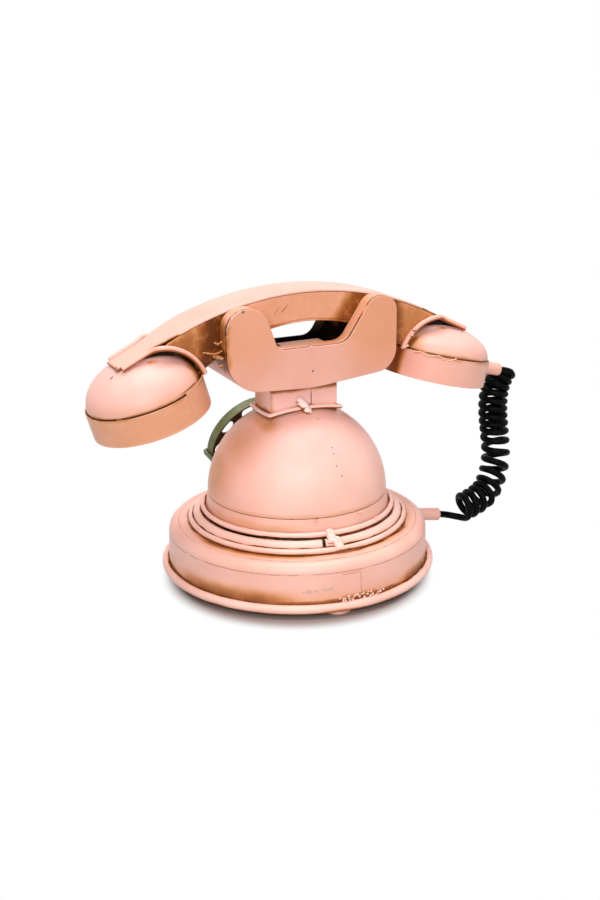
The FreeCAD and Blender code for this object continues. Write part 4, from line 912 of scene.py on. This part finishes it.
@dataclass
class DomeAndNeck:
    """Half-dome body with the square neck tube on it."""

    dome_foot: Pair = (34.7, 31.3)
    neck_half: Pair = (13.7, 7.8)
    neck_foot: float = 60.0
    neck_top: float = 75.4
    neck_seam: float = -2.7
    neck_edge: float = 0.5
    wire_corner: float = 63.7
    wire_middle: float = 66.2
    pits: tuple[Point, ...] = ((-2.6, 25.6, 54.6), (-2.3, 27.2, 52.6), (-2.2, 29.9, 48.8),
                               (-3.6, 31.6, 45.2), (-2.2, 14.6, 62.6))
    blob: tuple[Point, ...] = ((2.5, 8.4, 69.2), (1.5, 9.3, 67.6), (0.7, 10.1, 66.0), (-0.2, 10.7, 64.6))

    def dome_finish(self) -> PinkEnamel:
        """Gives the dome's enamel with its stains.

        Returns:
            The finish.
        """
        across, deep = self.neck_half
        radius, height = self.dome_foot
        foot = (0.0, 0.0, height)
        washes_and_shade = (
            # Painted shade: the dome darker towards its foot.
            Stain(Spread.RING, foot, 0.3, 3.0, 0.3, radius=radius),
            Stain(Spread.RING, foot, 2.0, 26.0, 0.1, radius=radius),
            Stain(Spread.LINE, (across + 2.0, -deep, 60.0), 0.6, 7.0, 0.42,
                  (across + 1.6, deep + 1.0, 60.4)),
            # Painted shadow of the neck wire on the dome just in front of it.
            Stain(Spread.LINE, (across + 0.9, deep + 1.7, 60.8), 0.1, 1.2, 0.6, (0.0, deep + 1.7, 64.5)),
            Stain(Spread.LINE, (-across - 0.9, deep + 1.7, 60.8), 0.1, 1.2, 0.6, (0.0, deep + 1.7, 64.5)),
            Stain(Spread.BALL, (25.0, 2.0, 54.0), 1.0, 22.0, 0.36),
            Stain(Spread.BALL, (34.0, -3.0, 42.0), 1.0, 25.0, 0.42),
            Stain(Spread.BALL, (-across - 3.0, deep, 59.5), 0.5, 4.0, 0.5),
            Stain(Spread.LINE, (across + 2.0, -deep - 3.0, 58.0), 0.5, 6.0, 0.8,
                  (-across - 2.0, -deep - 3.0, 58.0)),
        )
        pits = tuple(Stain(Spread.BALL, pit, 0.16, 0.44, 0.8) for pit in self.pits)
        seam = Stain(Spread.RING, foot, 0.1, 0.3, 0.8, radius=radius)
        return PinkEnamel("sprayed_enamel_dome", washes_and_shade, pits + (seam,), body="F6BBAF", pale="FAC8BC")

    def neck_finish(self) -> PinkEnamel:
        """Gives the neck's enamel with its stains, with painted shade along its wire and under the cradle.

        Returns:
            The finish.
        """
        across, deep = self.neck_half
        middle = (0.0, deep, self.wire_middle)
        under_cradle = self.neck_top - 1.2
        rear = (
            # Painted shade along the neck wire.
            Stain(Spread.LINE, (across, deep, self.wire_corner), 0.3, 1.3, 0.9, middle),
            Stain(Spread.LINE, (-across, deep, self.wire_corner), 0.3, 1.3, 0.9, middle),
            # Painted shadow of the cradle on the neck, with some wash.
            Stain(Spread.LINE, (-across, deep, under_cradle), 1.0, 2.8, 0.8, (across, deep, under_cradle)),
            Stain(Spread.LINE, (across, deep, 61.0), 0.2, 1.5, 0.4, (across, deep, self.neck_top)),
        )
        sides = (
            Stain(Spread.BALL, (across, -deep, 67.0), 2.0, 16.0, 0.5),
            # Painted shade along the neck wire on the sides.
            Stain(Spread.LINE, (across, -deep, 64.0), 0.4, 3.0, 0.8, (across, deep, 64.0)),
            Stain(Spread.LINE, (-across, -deep, 64.0), 0.4, 3.0, 0.8, (-across, deep, 64.0)),
        )
        seam = Stain(Spread.LINE, (self.neck_seam, deep, self.neck_foot), 0.1, 0.3, 0.9,
                     (self.neck_seam, deep, self.neck_top))
        # Body and pale tints lighter than the dome's: painted light where the cradle shades the neck.
        return PinkEnamel("sprayed_enamel_neck", rear + mirrored(rear) + sides, (seam,), body="FEC4B8",
                          pale="FFCFC5")

    def build(self, solder: SolderTree) -> None:
        """Dresses the dome, the neck and its wire, and adds the solder that holds the wire.

        Args:
            solder: The tree that drops solder.
        """
        painted(("dome_shell",), self.dome_finish().material())
        rolled(("neck_tube",), self.neck_edge, self.neck_finish().material())
        # Painted shade on the faces of the neck wire and its solder that look down.
        wash = (shade_beneath(0.5, 1.1, 0.85),)
        wire = PinkEnamel("sprayed_enamel_neck_wire", wash, body="F9CFC3", pale="FDDDD3")
        painted(("neck_wire",), wire.material())
        pale = PinkEnamel("sprayed_solder_neck", wash, body="FBE3DB", pale="FFEFEA").material()
        blob = solder.run("neck_solder", "base", [[Vector(point) for point in self.blob]],
                          {"Spacing": 0.6, "Bead": 1.65, "Scatter": 0.2, "Melt": 0.2}, 7, pale)
        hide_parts("neck_tab")


@dataclass
class Cradle:
    """Two forked plates with an edge strip round each, which carry the handset."""

    plate_out: float = 16.6
    plate_in: float = 15.8
    notch_floor: float = 90.95
    edge_width: float = 0.3
    pit: Point = (0.7, 16.6, 81.9)
    horn_pit: Point = (27.7, 16.6, 106.4)
    worn_lit_edge: tuple[Point, ...] = ((34.4, 16.0, 98.0), (33.6, 16.0, 103.0), (29.6, 16.0, 107.0))
    inside: Point = (0.0, -12.0, 78.0)
    inside_reach: float = 48.0
    tack_out: float = 15.9
    tack_ends: Pair = (0.2, 1.9)
    lump: tuple[Point, ...] = ((35.6, 14.0, 90.0), (36.4, 12.4, 90.2), (37.0, 10.8, 90.6))
    wisps: tuple[tuple[Point, ...], ...] = (
        ((35.6, 15.2, 93.0), (36.8, 13.0, 91.6), (38.2, 11.0, 91.3), (40.6, 10.2, 91.9)),
        ((35.4, 15.0, 96.2), (36.2, 13.4, 95.0), (37.0, 12.0, 95.4)),
        ((35.6, 15.6, 87.8), (36.8, 14.2, 87.0)),
    )

    def plate_washes(self) -> tuple[Stain, ...]:
        """Gives the wash of the rear plate and its strip.

        Returns:
            The stains.
        """
        return (
            Stain(Spread.LINE, (35.4, self.plate_in, 83.0), 0.4, 3.0, 0.75, (33.6, self.plate_in, 101.0)),
            Stain(Spread.BALL, (36.0, 11.0, 89.0), 4.0, 9.0, 0.95),
            Stain(Spread.BALL, (35.6, 10.0, 98.0), 3.0, 10.0, 0.75),
            Stain(Spread.LINE, (-35.6, 12.0, 84.0), 0.6, 4.0, 0.75, (-35.0, 12.0, 104.0)),
            Stain(Spread.LINE, (-17.0, 10.0, 91.2), 1.5, 7.0, 0.42, (17.0, 10.0, 91.2)),
            Stain(Spread.LINE, (-17.0, self.plate_out, 93.0), 0.2, 9.0, 0.3,
                  (-23.0, self.plate_out, 104.0)),
            Stain(Spread.BALL, (26.0, self.plate_out, 99.0), 5.0, 26.0, 0.26),
            Stain(Spread.BALL, (-26.0, self.plate_out, 96.0), 5.0, 28.0, 0.3),
        )

    def seam(self) -> Stain:
        """Gives the crack between the rear plate and its strip."""
        return Stain(Spread.PLANE, (0.0, self.plate_in, 0.0), 0.3, 0.66, 1.0, (0.0, 1.0, 0.0))

    def rear_finish(self) -> PinkEnamel:
        """Gives the enamel of the rear plate, its strip and the bottom strip.

        Returns:
            The finish.
        """
        # Pale along the horn's upper edge: wear, and a painted highlight.
        worn_and_lit = tuple(Stain(Spread.LINE, start, 0.3, 1.3, 0.5, after)
                     for start, after in zip(self.worn_lit_edge, self.worn_lit_edge[1:]))
        cracks = (self.seam(), Stain(Spread.BALL, self.pit, 0.22, 0.5, 0.9),
                  Stain(Spread.BALL, self.horn_pit, 0.3, 0.7, 0.8))
        # Tints darker than the other pink pieces: painted shade against the lamp on the camera's side.
        return PinkEnamel("sprayed_enamel_rear_fork", self.plate_washes(), cracks, worn_and_lit, body="E29E8C",
                          pale="EAAD9C", scuff="F8E0D7")

    def front_finish(self) -> PinkEnamel:
        """Gives the enamel of the front plate, with painted black shade inside the cradle.

        Returns:
            The finish.
        """
        backwards = (0.0, 1.0, 0.0)
        # Painted shade: black on the faces turned inward and on the strip inside the cradle.
        painted_shade_black = (
            Stain(Spread.FACING, ORIGIN, 0.4, 0.8, 1.0, backwards, 0.0, self.inside, self.inside_reach),
            Stain(Spread.PLANE, (0.0, -10.3, 0.0), 5.2, 5.6, 1.0, backwards, 0.0, self.inside,
                  self.inside_reach),
        )
        # The same darker tints, painted shade against the lamp on the camera's side.
        return PinkEnamel("sprayed_enamel_front_plate", mirrored(self.plate_washes()),
                          mirrored((self.seam(),)), (), painted_shade_black, 0.3, body="E29E8C", pale="EAAD9C")

    def build(self, solder: SolderTree) -> None:
        """Dresses the plates and strips, and adds their solder.

        Args:
            solder: The tree that drops solder.
        """
        rear = self.rear_finish().material()
        front = self.front_finish()
        shaded = replace(front, name="sprayed_enamel_front_strip", gloss=0.0)
        rolled(("cradle_rear_plate", "cradle_rear_edge", "cradle_bottom_strip"), self.edge_width, rear)
        rolled(("cradle_front_plate",), self.edge_width, front.material())
        rolled(("cradle_front_edge",), self.edge_width, shaded.material())
        # Painted shade on the torn solder's faces that look down.
        torn = PinkEnamel("torn_solder", (shade_beneath(0.3, 1.1, 0.9),), body="B0703A", pale="D9A070").material()
        solder.run("horn_solder", "base", [[Vector(point) for point in self.lump]],
                   {"Spacing": 0.5, "Bead": 0.95, "Scatter": 0.25, "Melt": 0.16}, 8, torn)
        solder.run("horn_wisps", "base", [[Vector(point) for point in wisp] for wisp in self.wisps],
                   {"Spacing": 0.25, "Bead": 0.4, "Scatter": 0.12, "Melt": 0.12}, 9, torn)
        tack = [Vector((end, self.tack_out, self.notch_floor)) for end in self.tack_ends]
        solder.run("notch_tack", "base", [tack],
                   {"Spacing": 0.4, "Bead": 0.65, "Scatter": 0.12, "Melt": 0.15}, 2, rear)


@dataclass
class Dial:
    """Finger wheel on its stud, tilted on the front of the dome."""

    joint: str = "dial_turn"

    def build(self) -> None:
        """Dresses the wheel, its stop and its fastening."""
        axis = next(Vector(joint["axis"]) for joint in frame["joints"] if joint["name"] == self.joint)
        # Painted shade: brown on the faces turned away from the dial's front.
        behind = Stain(Spread.FACING, ORIGIN, 0.6, 0.9, 1.0, tuple(-axis))
        olive = OliveEnamel("old_olive_enamel", (behind,)).material()
        painted(("dial_wheel", "finger_stop"), olive)
        painted(("dial_stud", "dial_washer", "dial_nut"), PlatedSteel().material())


@dataclass
class Handset:
    """Arched handle with a cap at each end."""

    side_out: float = 9.5
    side_edge: float = 0.3
    cap_radius: float = 22.15
    band_height: float = 10.0
    band_edge: float = 0.22
    band_end: float = 17.0
    dome_radius: float = 21.3
    ear: Turned = field(default_factory=lambda: Turned((60.21, 0.0, 77.04), (0.279, 0.0, 0.9603)))
    mouth: Turned = field(default_factory=lambda: Turned((-61.01, 0.0, 79.73), (-0.2385, 0.0, 0.9711)))
    bead_wire: tuple[Point, ...] = ((42.5, 11.0, 85.0), (47.0, 11.0, 90.0), (53.0, 10.8, 92.8),
                                    (60.0, 8.6, 91.6))
    shade_sheet_top: tuple[Pair, ...] = ((50.0, 97.8), (51.75, 97.0), (60.0, 92.9), (69.0, 88.4))
    shade_sheet_foot: tuple[Pair, ...] = ((69.0, 84.5), (60.0, 85.5), (50.0, 86.5))
    shade_sheet_sides: Pair = (4.6, 5.2)
    lap_angles: Pair = (178.0, 115.8)
    lap_foot: Pair = (22.12, -9.6)
    lap_top: Pair = (22.12, 1.1)
    lap_thickness: float = 0.16
    scar_start: float = 38.0
    scar_step: float = 6.0
    scar_count: int = 8
    scar_radius: float = 22.1
    scar_height: float = -0.5
    scar_rise: float = 0.6
    scar_turn: float = 2.0
    ties: tuple[tuple[Point, ...], ...] = (((-45.2, 11.2, 91.6), (-43.8, 11.4, 89.6)),
                                           ((-41.4, 11.3, 85.4), (-40.6, 11.2, 84.2)))

    def side_finish(self) -> PinkEnamel:
        """Gives the enamel of the handle's sides with its stains.

        Returns:
            The finish.
        """
        out = self.side_out
        rear = (
            Stain(Spread.LINE, (37.0, out, 84.0), 3.0, 15.0, 1.0, (33.0, out, 104.0)),
            Stain(Spread.BALL, (46.0, out, 90.0), 6.0, 19.0, 0.7),
            Stain(Spread.LINE, (-36.5, out, 82.0), 2.0, 13.0, 0.85, (-34.5, out, 104.0)),
            Stain(Spread.BALL, (-46.0, out, 92.0), 5.0, 18.0, 0.55),
            Stain(Spread.LINE, (-16.0, out, 96.0), 2.0, 11.0, 0.85, (-24.0, out, 107.0)),
            Stain(Spread.LINE, (17.5, out, 96.0), 1.0, 6.0, 0.7, (22.0, out, 101.0)),
            Stain(Spread.LINE, (-20.0, out, 98.5), 0.3, 2.2, 0.6, (22.0, out, 97.5)),
            Stain(Spread.BALL, (0.0, out, 103.0), 12.0, 44.0, 0.3),
        )
        cracks = (
            Stain(Spread.LINE, (7.1, out, 105.7), 0.08, 0.26, 0.7, (9.6, out, 103.4)),
            Stain(Spread.LINE, (11.2, out, 104.9), 0.06, 0.22, 0.5, (12.6, out, 102.4)),
        )
        return PinkEnamel("sprayed_enamel_handle_sides", rear + mirrored(rear), cracks, gloss=0.25,
                          mottle=(3.2, -0.35))

    def strip_finish(self) -> PinkEnamel:
        """Gives the enamel of the top strip with its stains, and painted black shade on its underside.

        Returns:
            The finish.
        """
        tongue = (
            Stain(Spread.LINE, (71.5, -6.0, 88.0), 0.2, 1.1, 0.8, (71.5, 6.0, 88.0)),
            Stain(Spread.LINE, (71.4, 6.2, 87.8), 0.2, 0.9, 0.75, (60.0, 6.2, 93.4)),
            Stain(Spread.LINE, (60.0, 6.2, 93.4), 0.3, 1.4, 0.9, (50.0, 9.2, 98.4)),
            Stain(Spread.LINE, (71.4, -6.2, 87.8), 0.2, 0.9, 0.75, (60.0, -6.2, 93.4)),
        )
        # The black on the faces that look down is painted shade.
        return PinkEnamel("sprayed_enamel_top_strip", tongue + mirrored(tongue, 0), (), (),
                          (shade_beneath(0.3, 0.7, 1.0),))

    def cap_finish(self, name: str, cap: Turned, tan: float, washes_and_shade: tuple[Stain, ...],
                   marks: tuple[Stain, ...]) -> PinkEnamel:
        """Gives the enamel of a cap's dome or band.

        Args:
            name: The finish's name.
            cap: The cap's place.
            tan: Strength of the thin wash over the band.
            washes_and_shade: Washes and painted shade of this piece alone.
            marks: Cracks and dots of this piece alone.

        Returns:
            The finish.
        """
        band = tuple(cap.at(0.0, 0.0, -self.band_height / 2))
        common = (
            Stain(Spread.RING, cap.centre, 0.3, 2.0, 0.58, cap.axis, self.dome_radius),
            Stain(Spread.RING, cap.centre, 1.0, 7.5, tan, cap.axis, self.dome_radius),
            Stain(Spread.RING, band, 4.0, 8.0, tan, cap.axis, self.cap_radius),
        )
        seam = Stain(Spread.RING, cap.centre, 0.3, 0.75, 0.9, cap.axis, self.dome_radius)
        return PinkEnamel(name, common + washes_and_shade, (seam,) + marks, body="EEACA0", pale="F4BBB0")

    def arch_shade_and_wash(self) -> tuple[Stain, ...]:
        """Gives the painted shadow and the wash under the earpiece's bead wires.

        Returns:
            The stains.
        """
        # Painted shadow under the bead wires, with some wash.
        rear = tuple(Stain(Spread.LINE, start, 0.5, 2.6, 0.8, after)
                     for start, after in zip(self.bead_wire, self.bead_wire[1:]))
        return rear + mirrored(rear)

    def ear_dome_finish(self) -> PinkEnamel:
        """Gives the enamel of the earpiece's dome, with a chip by the tongue and a crack over the lap.

        Returns:
            The finish.
        """
        over_lap = Stain(Spread.RING, tuple(self.ear.at(0.0, 0.0, 1.35)), 0.1, 0.4, 0.9, self.ear.axis,
                         self.dome_radius, tuple(self.ear.at(155.0, 21.0, 1.0)), 24.0)
        chip = Stain(Spread.LINE, (72.9, 5.2, 85.7), 0.2, 0.5, 0.8, (73.8, 5.6, 85.2))
        limb = Stain(Spread.LINE, tuple(self.ear.at(150.0, 21.3, 0.5)), 0.5, 6.5, 0.9,
                     tuple(self.ear.at(165.0, 19.0, 6.0)))
        return self.cap_finish("sprayed_enamel_earpiece_dome", self.ear, 0.2, (limb,) + self.arch_shade_and_wash(),
                               (chip, over_lap))

    def mouth_dome_finish(self) -> PinkEnamel:
        """Gives the enamel of the mouthpiece's dome.

        Returns:
            The finish.
        """
        limb = Stain(Spread.BALL, (-44.0, 11.5, 88.0), 1.0, 8.0, 0.45)
        return self.cap_finish("sprayed_enamel_mouthpiece_dome", self.mouth, 0.12,
                               (limb,) + mirrored(self.arch_shade_and_wash(), 0), ())

    def mouth_band_finish(self) -> PinkEnamel:
        """Gives the enamel of the mouthpiece's band, with painted shade at its end by the cradle.

        Returns:
            The finish.
        """
        # Painted shade on the band's end by the cradle.
        end = [tuple(self.mouth.at(self.band_end, self.cap_radius, height))
               for height in (0.0, -self.band_height)]
        return self.cap_finish("sprayed_enamel_mouthpiece_band", self.mouth, 0.12,
                               (Stain(Spread.LINE, end[0], 1.0, 6.0, 0.9, end[1]),), ())

    def shade_sheets(self, name: str, end: float) -> bpy.types.Mesh:
        """Makes the two dark sheets of painted shade that close the gap between a tongue and its cap.

        Args:
            name: The mesh's name.
            end: One for the earpiece, minus one for the mouthpiece.

        Returns:
            The mesh.
        """
        outline = self.shade_sheet_top + self.shade_sheet_foot
        return skinned(name, [[[Vector((x * end, y * side, z)) for x, z in outline] for y in self.shade_sheet_sides]
                              for side in (1.0, -1.0)])

    def build(self, solder: SolderTree) -> None:
        """Dresses the handle and the caps, and adds their laps, dark sheets of painted shade and solder.

        Args:
            solder: The tree that drops solder.
        """
        rolled(("handle_rear_side", "handle_front_side", "handle_bottom_strip"), self.side_edge,
               self.side_finish().material())
        rolled(("handle_top_strip",), self.side_edge, self.strip_finish().material())
        ear_band = self.cap_finish("sprayed_enamel_earpiece_band", self.ear, 0.36, (), ()).material()
        rolled(("earpiece_band",), self.band_edge, ear_band)
        painted(("earpiece_dome",), self.ear_dome_finish().material())
        rolled(("mouthpiece_band",), self.band_edge, self.mouth_band_finish().material())
        painted(("mouthpiece_dome",), self.mouth_dome_finish().material())
        painted(("earpiece_face", "mouthpiece_face"), PinkEnamel("sprayed_enamel_cap_faces").material())
        # Painted shade on the faces of the bead wires and the solder that look down.
        under = (shade_beneath(0.5, 1.2, 0.8),)
        painted(("earpiece_wires", "mouthpiece_wires"),
                PinkEnamel("sprayed_enamel_bead_wires", under).material())
        painted(("handset_cord_ferrule",),
                PinkEnamel("sprayed_enamel_handset_ferrule", body="E8A083").material())
        # Painted shade: dark sheets filling the gaps under the bead-wire arches.
        gap = PinkEnamel("painted_shade_in_gaps", gloss=0.1, body="2A150A", pale="1A0D06").material()
        for name, end in (("earpiece_shade_sheet", 1.0), ("mouthpiece_shade_sheet", -1.0)):
            mesh = self.shade_sheets(name, end)
            mesh.materials.append(gap)
            show(mesh, name, "handset")
        lap = self.ear.lap("earpiece_lap", self.lap_angles, self.lap_foot, self.lap_top, self.lap_thickness)
        lap.materials.append(ear_band)
        show(lap, "earpiece_lap", "handset")
        pale = PinkEnamel("sprayed_solder_handset", under, body="EFB6A6", pale="F5C8BB").material()
        scar = [self.mouth.at(self.scar_start + self.scar_step * step, self.scar_radius,
                              self.scar_height + self.scar_rise * math.sin(self.scar_turn * step))
                for step in range(self.scar_count)]
        solder.run("mouthpiece_solder", "handset", [scar],
                   {"Spacing": 0.6, "Bead": 0.42, "Scatter": 0.15, "Melt": 0.12}, 11, pale)
        solder.run("bead_wire_solder", "handset", [[Vector(point) for point in tie] for tie in self.ties],
                   {"Spacing": 0.6, "Bead": 0.75, "Scatter": 0.5, "Melt": 0.15}, 6, pale)


@dataclass
class CurlyCord:
    """Black curly cord from the mouthpiece's ferrule down to the drum's."""

    wire_radius: float = 1.38
    curl_radius: float = 4.85
    points_a_turn: int = 16
    pitch: float = 3.3
    pitch_first: float = 3.7
    pitch_low: float = 5.6
    pitch_end: float = 3.3
    even_share: float = 0.36
    low_share: float = 0.555
    lead: tuple[Point, ...] = ((-89.531, 0.0, 68.191), (-93.6, 0.0, 67.2))
    axis: tuple[Point, ...] = ((-97.26, -4.85, 66.29), (-93.7, -4.85, 61.8), (-92.5, -4.7, 50.5),
                               (-93.8, -4.3, 40.0), (-94.6, -3.0, 27.5), (-88.6, 0.8, 16.4),
                               (-81.0, 2.9, 13.0), (-73.66, 3.35, 11.25))
    tail: tuple[Point, ...] = ((-70.206, -0.578, 7.281), (-67.581, -0.25, 8.069), (-65.581, 0.0, 8.669),
                               (-62.227, 0.0, 9.23))
    still_below: float = 16.0
    lifted_above: float = 66.0
    axis_divisions: int = 40
    path_divisions: int = 4
    tube_divisions: int = 3
    tube_sides: int = 3

    def pitch_at(self, share: float) -> float:
        """Gives the pitch at a share of the way down the curls.

        Args:
            share: The share, from nought at the top to one at the end.

        Returns:
            The pitch, in millimetres.
        """
        if share < self.even_share:
            return self.pitch
        if share < self.low_share:
            opened = (share - self.even_share) / (self.low_share - self.even_share)
            return self.pitch + (self.pitch_low - self.pitch) * opened
        closed = (share - self.low_share) / (1 - self.low_share)
        return self.pitch_low + (self.pitch_end - self.pitch_low) * closed

    def curls(self) -> list[Vector]:
        """Winds the curls round the axis's own spline.

        Returns:
            The wire's points, in millimetres.
        """
        line = spline_points([Vector(point) for point in self.axis], self.axis_divisions)
        lengths = [0.0]
        for start, end in zip(line, line[1:]):
            lengths.append(lengths[-1] + (end - start).length)
        whole = lengths[-1]
        places = [0.0]
        while places[-1] < whole:
            first = len(places) <= self.points_a_turn
            pitch = self.pitch_first if first else self.pitch_at(places[-1] / whole)
            places.append(places[-1] + pitch / self.points_a_turn)
        quarter = self.points_a_turn // 4
        turns = (len(places) - 1 - quarter) // self.points_a_turn
        places = places[:turns * self.points_a_turn + quarter + 1]
        stretch = whole / places[-1]
        wire = []
        index = 0
        for count, place in enumerate(places):
            place *= stretch
            while index < len(line) - 2 and lengths[index + 1] < place:
                index += 1
            ahead = (line[index + 1] - line[index]).normalized()
            middle = line[index] + ahead * (place - lengths[index])
            side = Vector((0.0, 1.0, 0.0))
            side = (side - ahead * side.dot(ahead)).normalized()
            turn = math.pi / 2 + 2 * math.pi * count / self.points_a_turn
            out = ahead.cross(side) * math.cos(turn) + side * math.sin(turn)
            wire.append(middle + out * self.curl_radius)
        return wire

    def build(self) -> None:
        lead, tail = ([Vector(point) for point in end] for end in (self.lead, self.tail))
        route = lead + self.curls() + tail
        path = spline_points(route, self.path_divisions)
        curve = spline_curve(route, self.tube_divisions)
        curve.bevel_depth = self.wire_radius * MM
        curve.bevel_resolution = self.tube_sides
        curve.use_fill_caps = True
        holder = bpy.data.objects.new("cord_line", curve)
        bpy.context.scene.collection.objects.link(holder)
        mesh = bpy.data.meshes.new_from_object(holder.evaluated_get(bpy.context.evaluated_depsgraph_get()))
        bpy.data.curves.remove(curve)
        for face in mesh.polygons:
            face.use_smooth = True
        mesh.materials.clear()
        mesh.materials.append(CordVinyl().material())
        cord = bpy.data.objects.new("curly_cord", mesh)
        bpy.context.scene.collection.objects.link(cord)
        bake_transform(cord)
        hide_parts("cord_curl", "cord_tail")


@dataclass
class Studio:
    """White table with a painted shadow round the foot, white surround, soft lamps and the camera.

    A lamp has a name, a place in millimetres, a width in metres and a power in watts.
    """

    lens: float = 50.0
    sensor: float = 36.0
    stand: Point = (192.54, 416.10, 197.47)
    right: Point = (-0.9049, 0.4255, -0.0096)
    up: Point = (-0.1414, -0.2792, 0.9498)
    ahead: Point = (-0.4014, -0.8608, -0.3128)
    floor_radius: float = 3000.0
    floor_sides: int = 96
    shade_centre: Point = (4.0, 8.2, 0.0)
    shade_radius: Pair = (45.5, 53.5)
    shade_tint: Point = (0.318, 0.245, 0.235)
    bounce_tint: Point = (0.5, 0.5, 0.5)
    room_light: float = 0.42
    lamp_target: Point = (0.0, 0.0, 60.0)
    lamps: tuple[tuple[str, Point, float, float], ...] = (
        ("soft_overhead", (0.0, -60.0, 920.0), 0.8, 7.3),
        ("soft_left", (290.0, 650.0, 430.0), 0.7, 4.1),
    )

    def set_camera(self) -> None:
        """Sets the camera at the photograph's viewing angle."""
        data = bpy.data.cameras.new("camera")
        data.lens = self.lens
        data.sensor_width = self.sensor
        camera = bpy.data.objects.new("camera", data)
        turn = Matrix((self.right, self.up, -Vector(self.ahead))).transposed().to_4x4()
        camera.matrix_world = Matrix.Translation(Vector(self.stand) * MM) @ turn
        bpy.context.scene.collection.objects.link(camera)
        bpy.context.scene.camera = camera

    def lay_floor(self) -> None:
        """Lays the table, with a soft painted shadow round the foot and plain white farther out."""
        disc = bmesh.new()
        bmesh.ops.create_circle(disc, cap_ends=True, segments=self.floor_sides,
                                radius=self.floor_radius * MM)
        mesh = bpy.data.meshes.new("table")
        disc.to_mesh(mesh)
        disc.free()
        material = bpy.data.materials.new("white_card_with_painted_shadow")
        material.use_nodes = True
        tree = material.node_tree
        tree.nodes.clear()
        coordinates = add_node(tree, "ShaderNodeTexCoord")
        away = add_node(tree, VECTOR, {"operation": "DISTANCE"},
                        {0: coordinates.outputs["Object"], 1: Vector(self.shade_centre) * MM})
        near, far = self.shade_radius
        clear = add_node(tree, RANGE, SMOOTH, {0: away.outputs["Value"], 1: near * MM, 2: far * MM})
        # Painted shadow: the card round the foot is tinted dark, and the lamps shade it further.
        shadow_card = add_node(tree, "ShaderNodeBsdfDiffuse", None, {"Color": (*self.shade_tint, 1.0)})
        white = add_node(tree, "ShaderNodeEmission", None, {"Strength": 1.0})
        seen = add_node(tree, "ShaderNodeMixShader", None, {0: clear, 1: shadow_card, 2: white})
        bounce = add_node(tree, "ShaderNodeBsdfDiffuse", None, {"Color": (*self.bounce_tint, 1.0)})
        last = add_node(tree, "ShaderNodeMixShader", None,
                        {0: self.background_rays(tree), 1: bounce, 2: seen})
        add_node(tree, "ShaderNodeOutputMaterial", None, {"Surface": last})
        mesh.materials.append(material)
        table = bpy.data.objects.new("table", mesh)
        bpy.context.scene.collection.objects.link(table)

    def background_rays(self, tree: bpy.types.NodeTree) -> bpy.types.Node:
        """Tells the rays that see the background.

        Args:
            tree: The tree that gets the nodes.

        Returns:
            The node that is one for camera, glossy and transmission rays.
        """
        path = add_node(tree, "ShaderNodeLightPath").outputs
        pair = add_node(tree, MATH, {"operation": "MAXIMUM"},
                        {0: path["Is Camera Ray"], 1: path["Is Glossy Ray"]})
        return add_node(tree, MATH, {"operation": "MAXIMUM"}, {0: pair, 1: path["Is Transmission Ray"]})

    def light_room(self) -> None:
        """Makes the surround white to the eye and softer as a light."""
        world = bpy.data.worlds.new("white_room")
        world.use_nodes = True
        tree = world.node_tree
        tree.nodes.clear()
        level = add_node(tree, RANGE, None, {0: self.background_rays(tree), 3: self.room_light, 4: 1.0})
        light = add_node(tree, "ShaderNodeBackground", None,
                         {"Color": (1.0, 1.0, 1.0, 1.0), "Strength": level})
        add_node(tree, "ShaderNodeOutputWorld", None, {"Surface": light})
        bpy.context.scene.world = world

    def hang_lamps(self) -> None:
        """Hangs the soft lamps, the main one overhead and a lesser one on the camera's left."""
        for name, place, width, power in self.lamps:
            data = bpy.data.lights.new(name, "AREA")
            data.shape = "DISK"
            data.size = width
            data.energy = power
            lamp = bpy.data.objects.new(name, data)
            stand = Vector(place) * MM
            heading = (Vector(self.lamp_target) * MM - stand).to_track_quat("-Z", "Y").to_matrix().to_4x4()
            lamp.matrix_world = Matrix.Translation(stand) @ heading
            bpy.context.scene.collection.objects.link(lamp)

    def build(self) -> None:
        """Sets the whole studio."""
        self.set_camera()
        self.lay_floor()
        self.light_room()
        self.hang_lamps()
        bpy.context.scene.view_settings.view_transform = "Standard"


def main() -> None:
    """Builds the studio and dresses every sub-assembly."""
    logging.basicConfig(level=logging.INFO, format="%(message)s")
    Studio().build()
    CurlyCord().build()
    solder = SolderTree()
    Base().build(solder)
    DomeAndNeck().build(solder)
    Cradle().build(solder)
    Dial().build()
    Handset().build(solder)


if __name__ == "__main__":
    main()
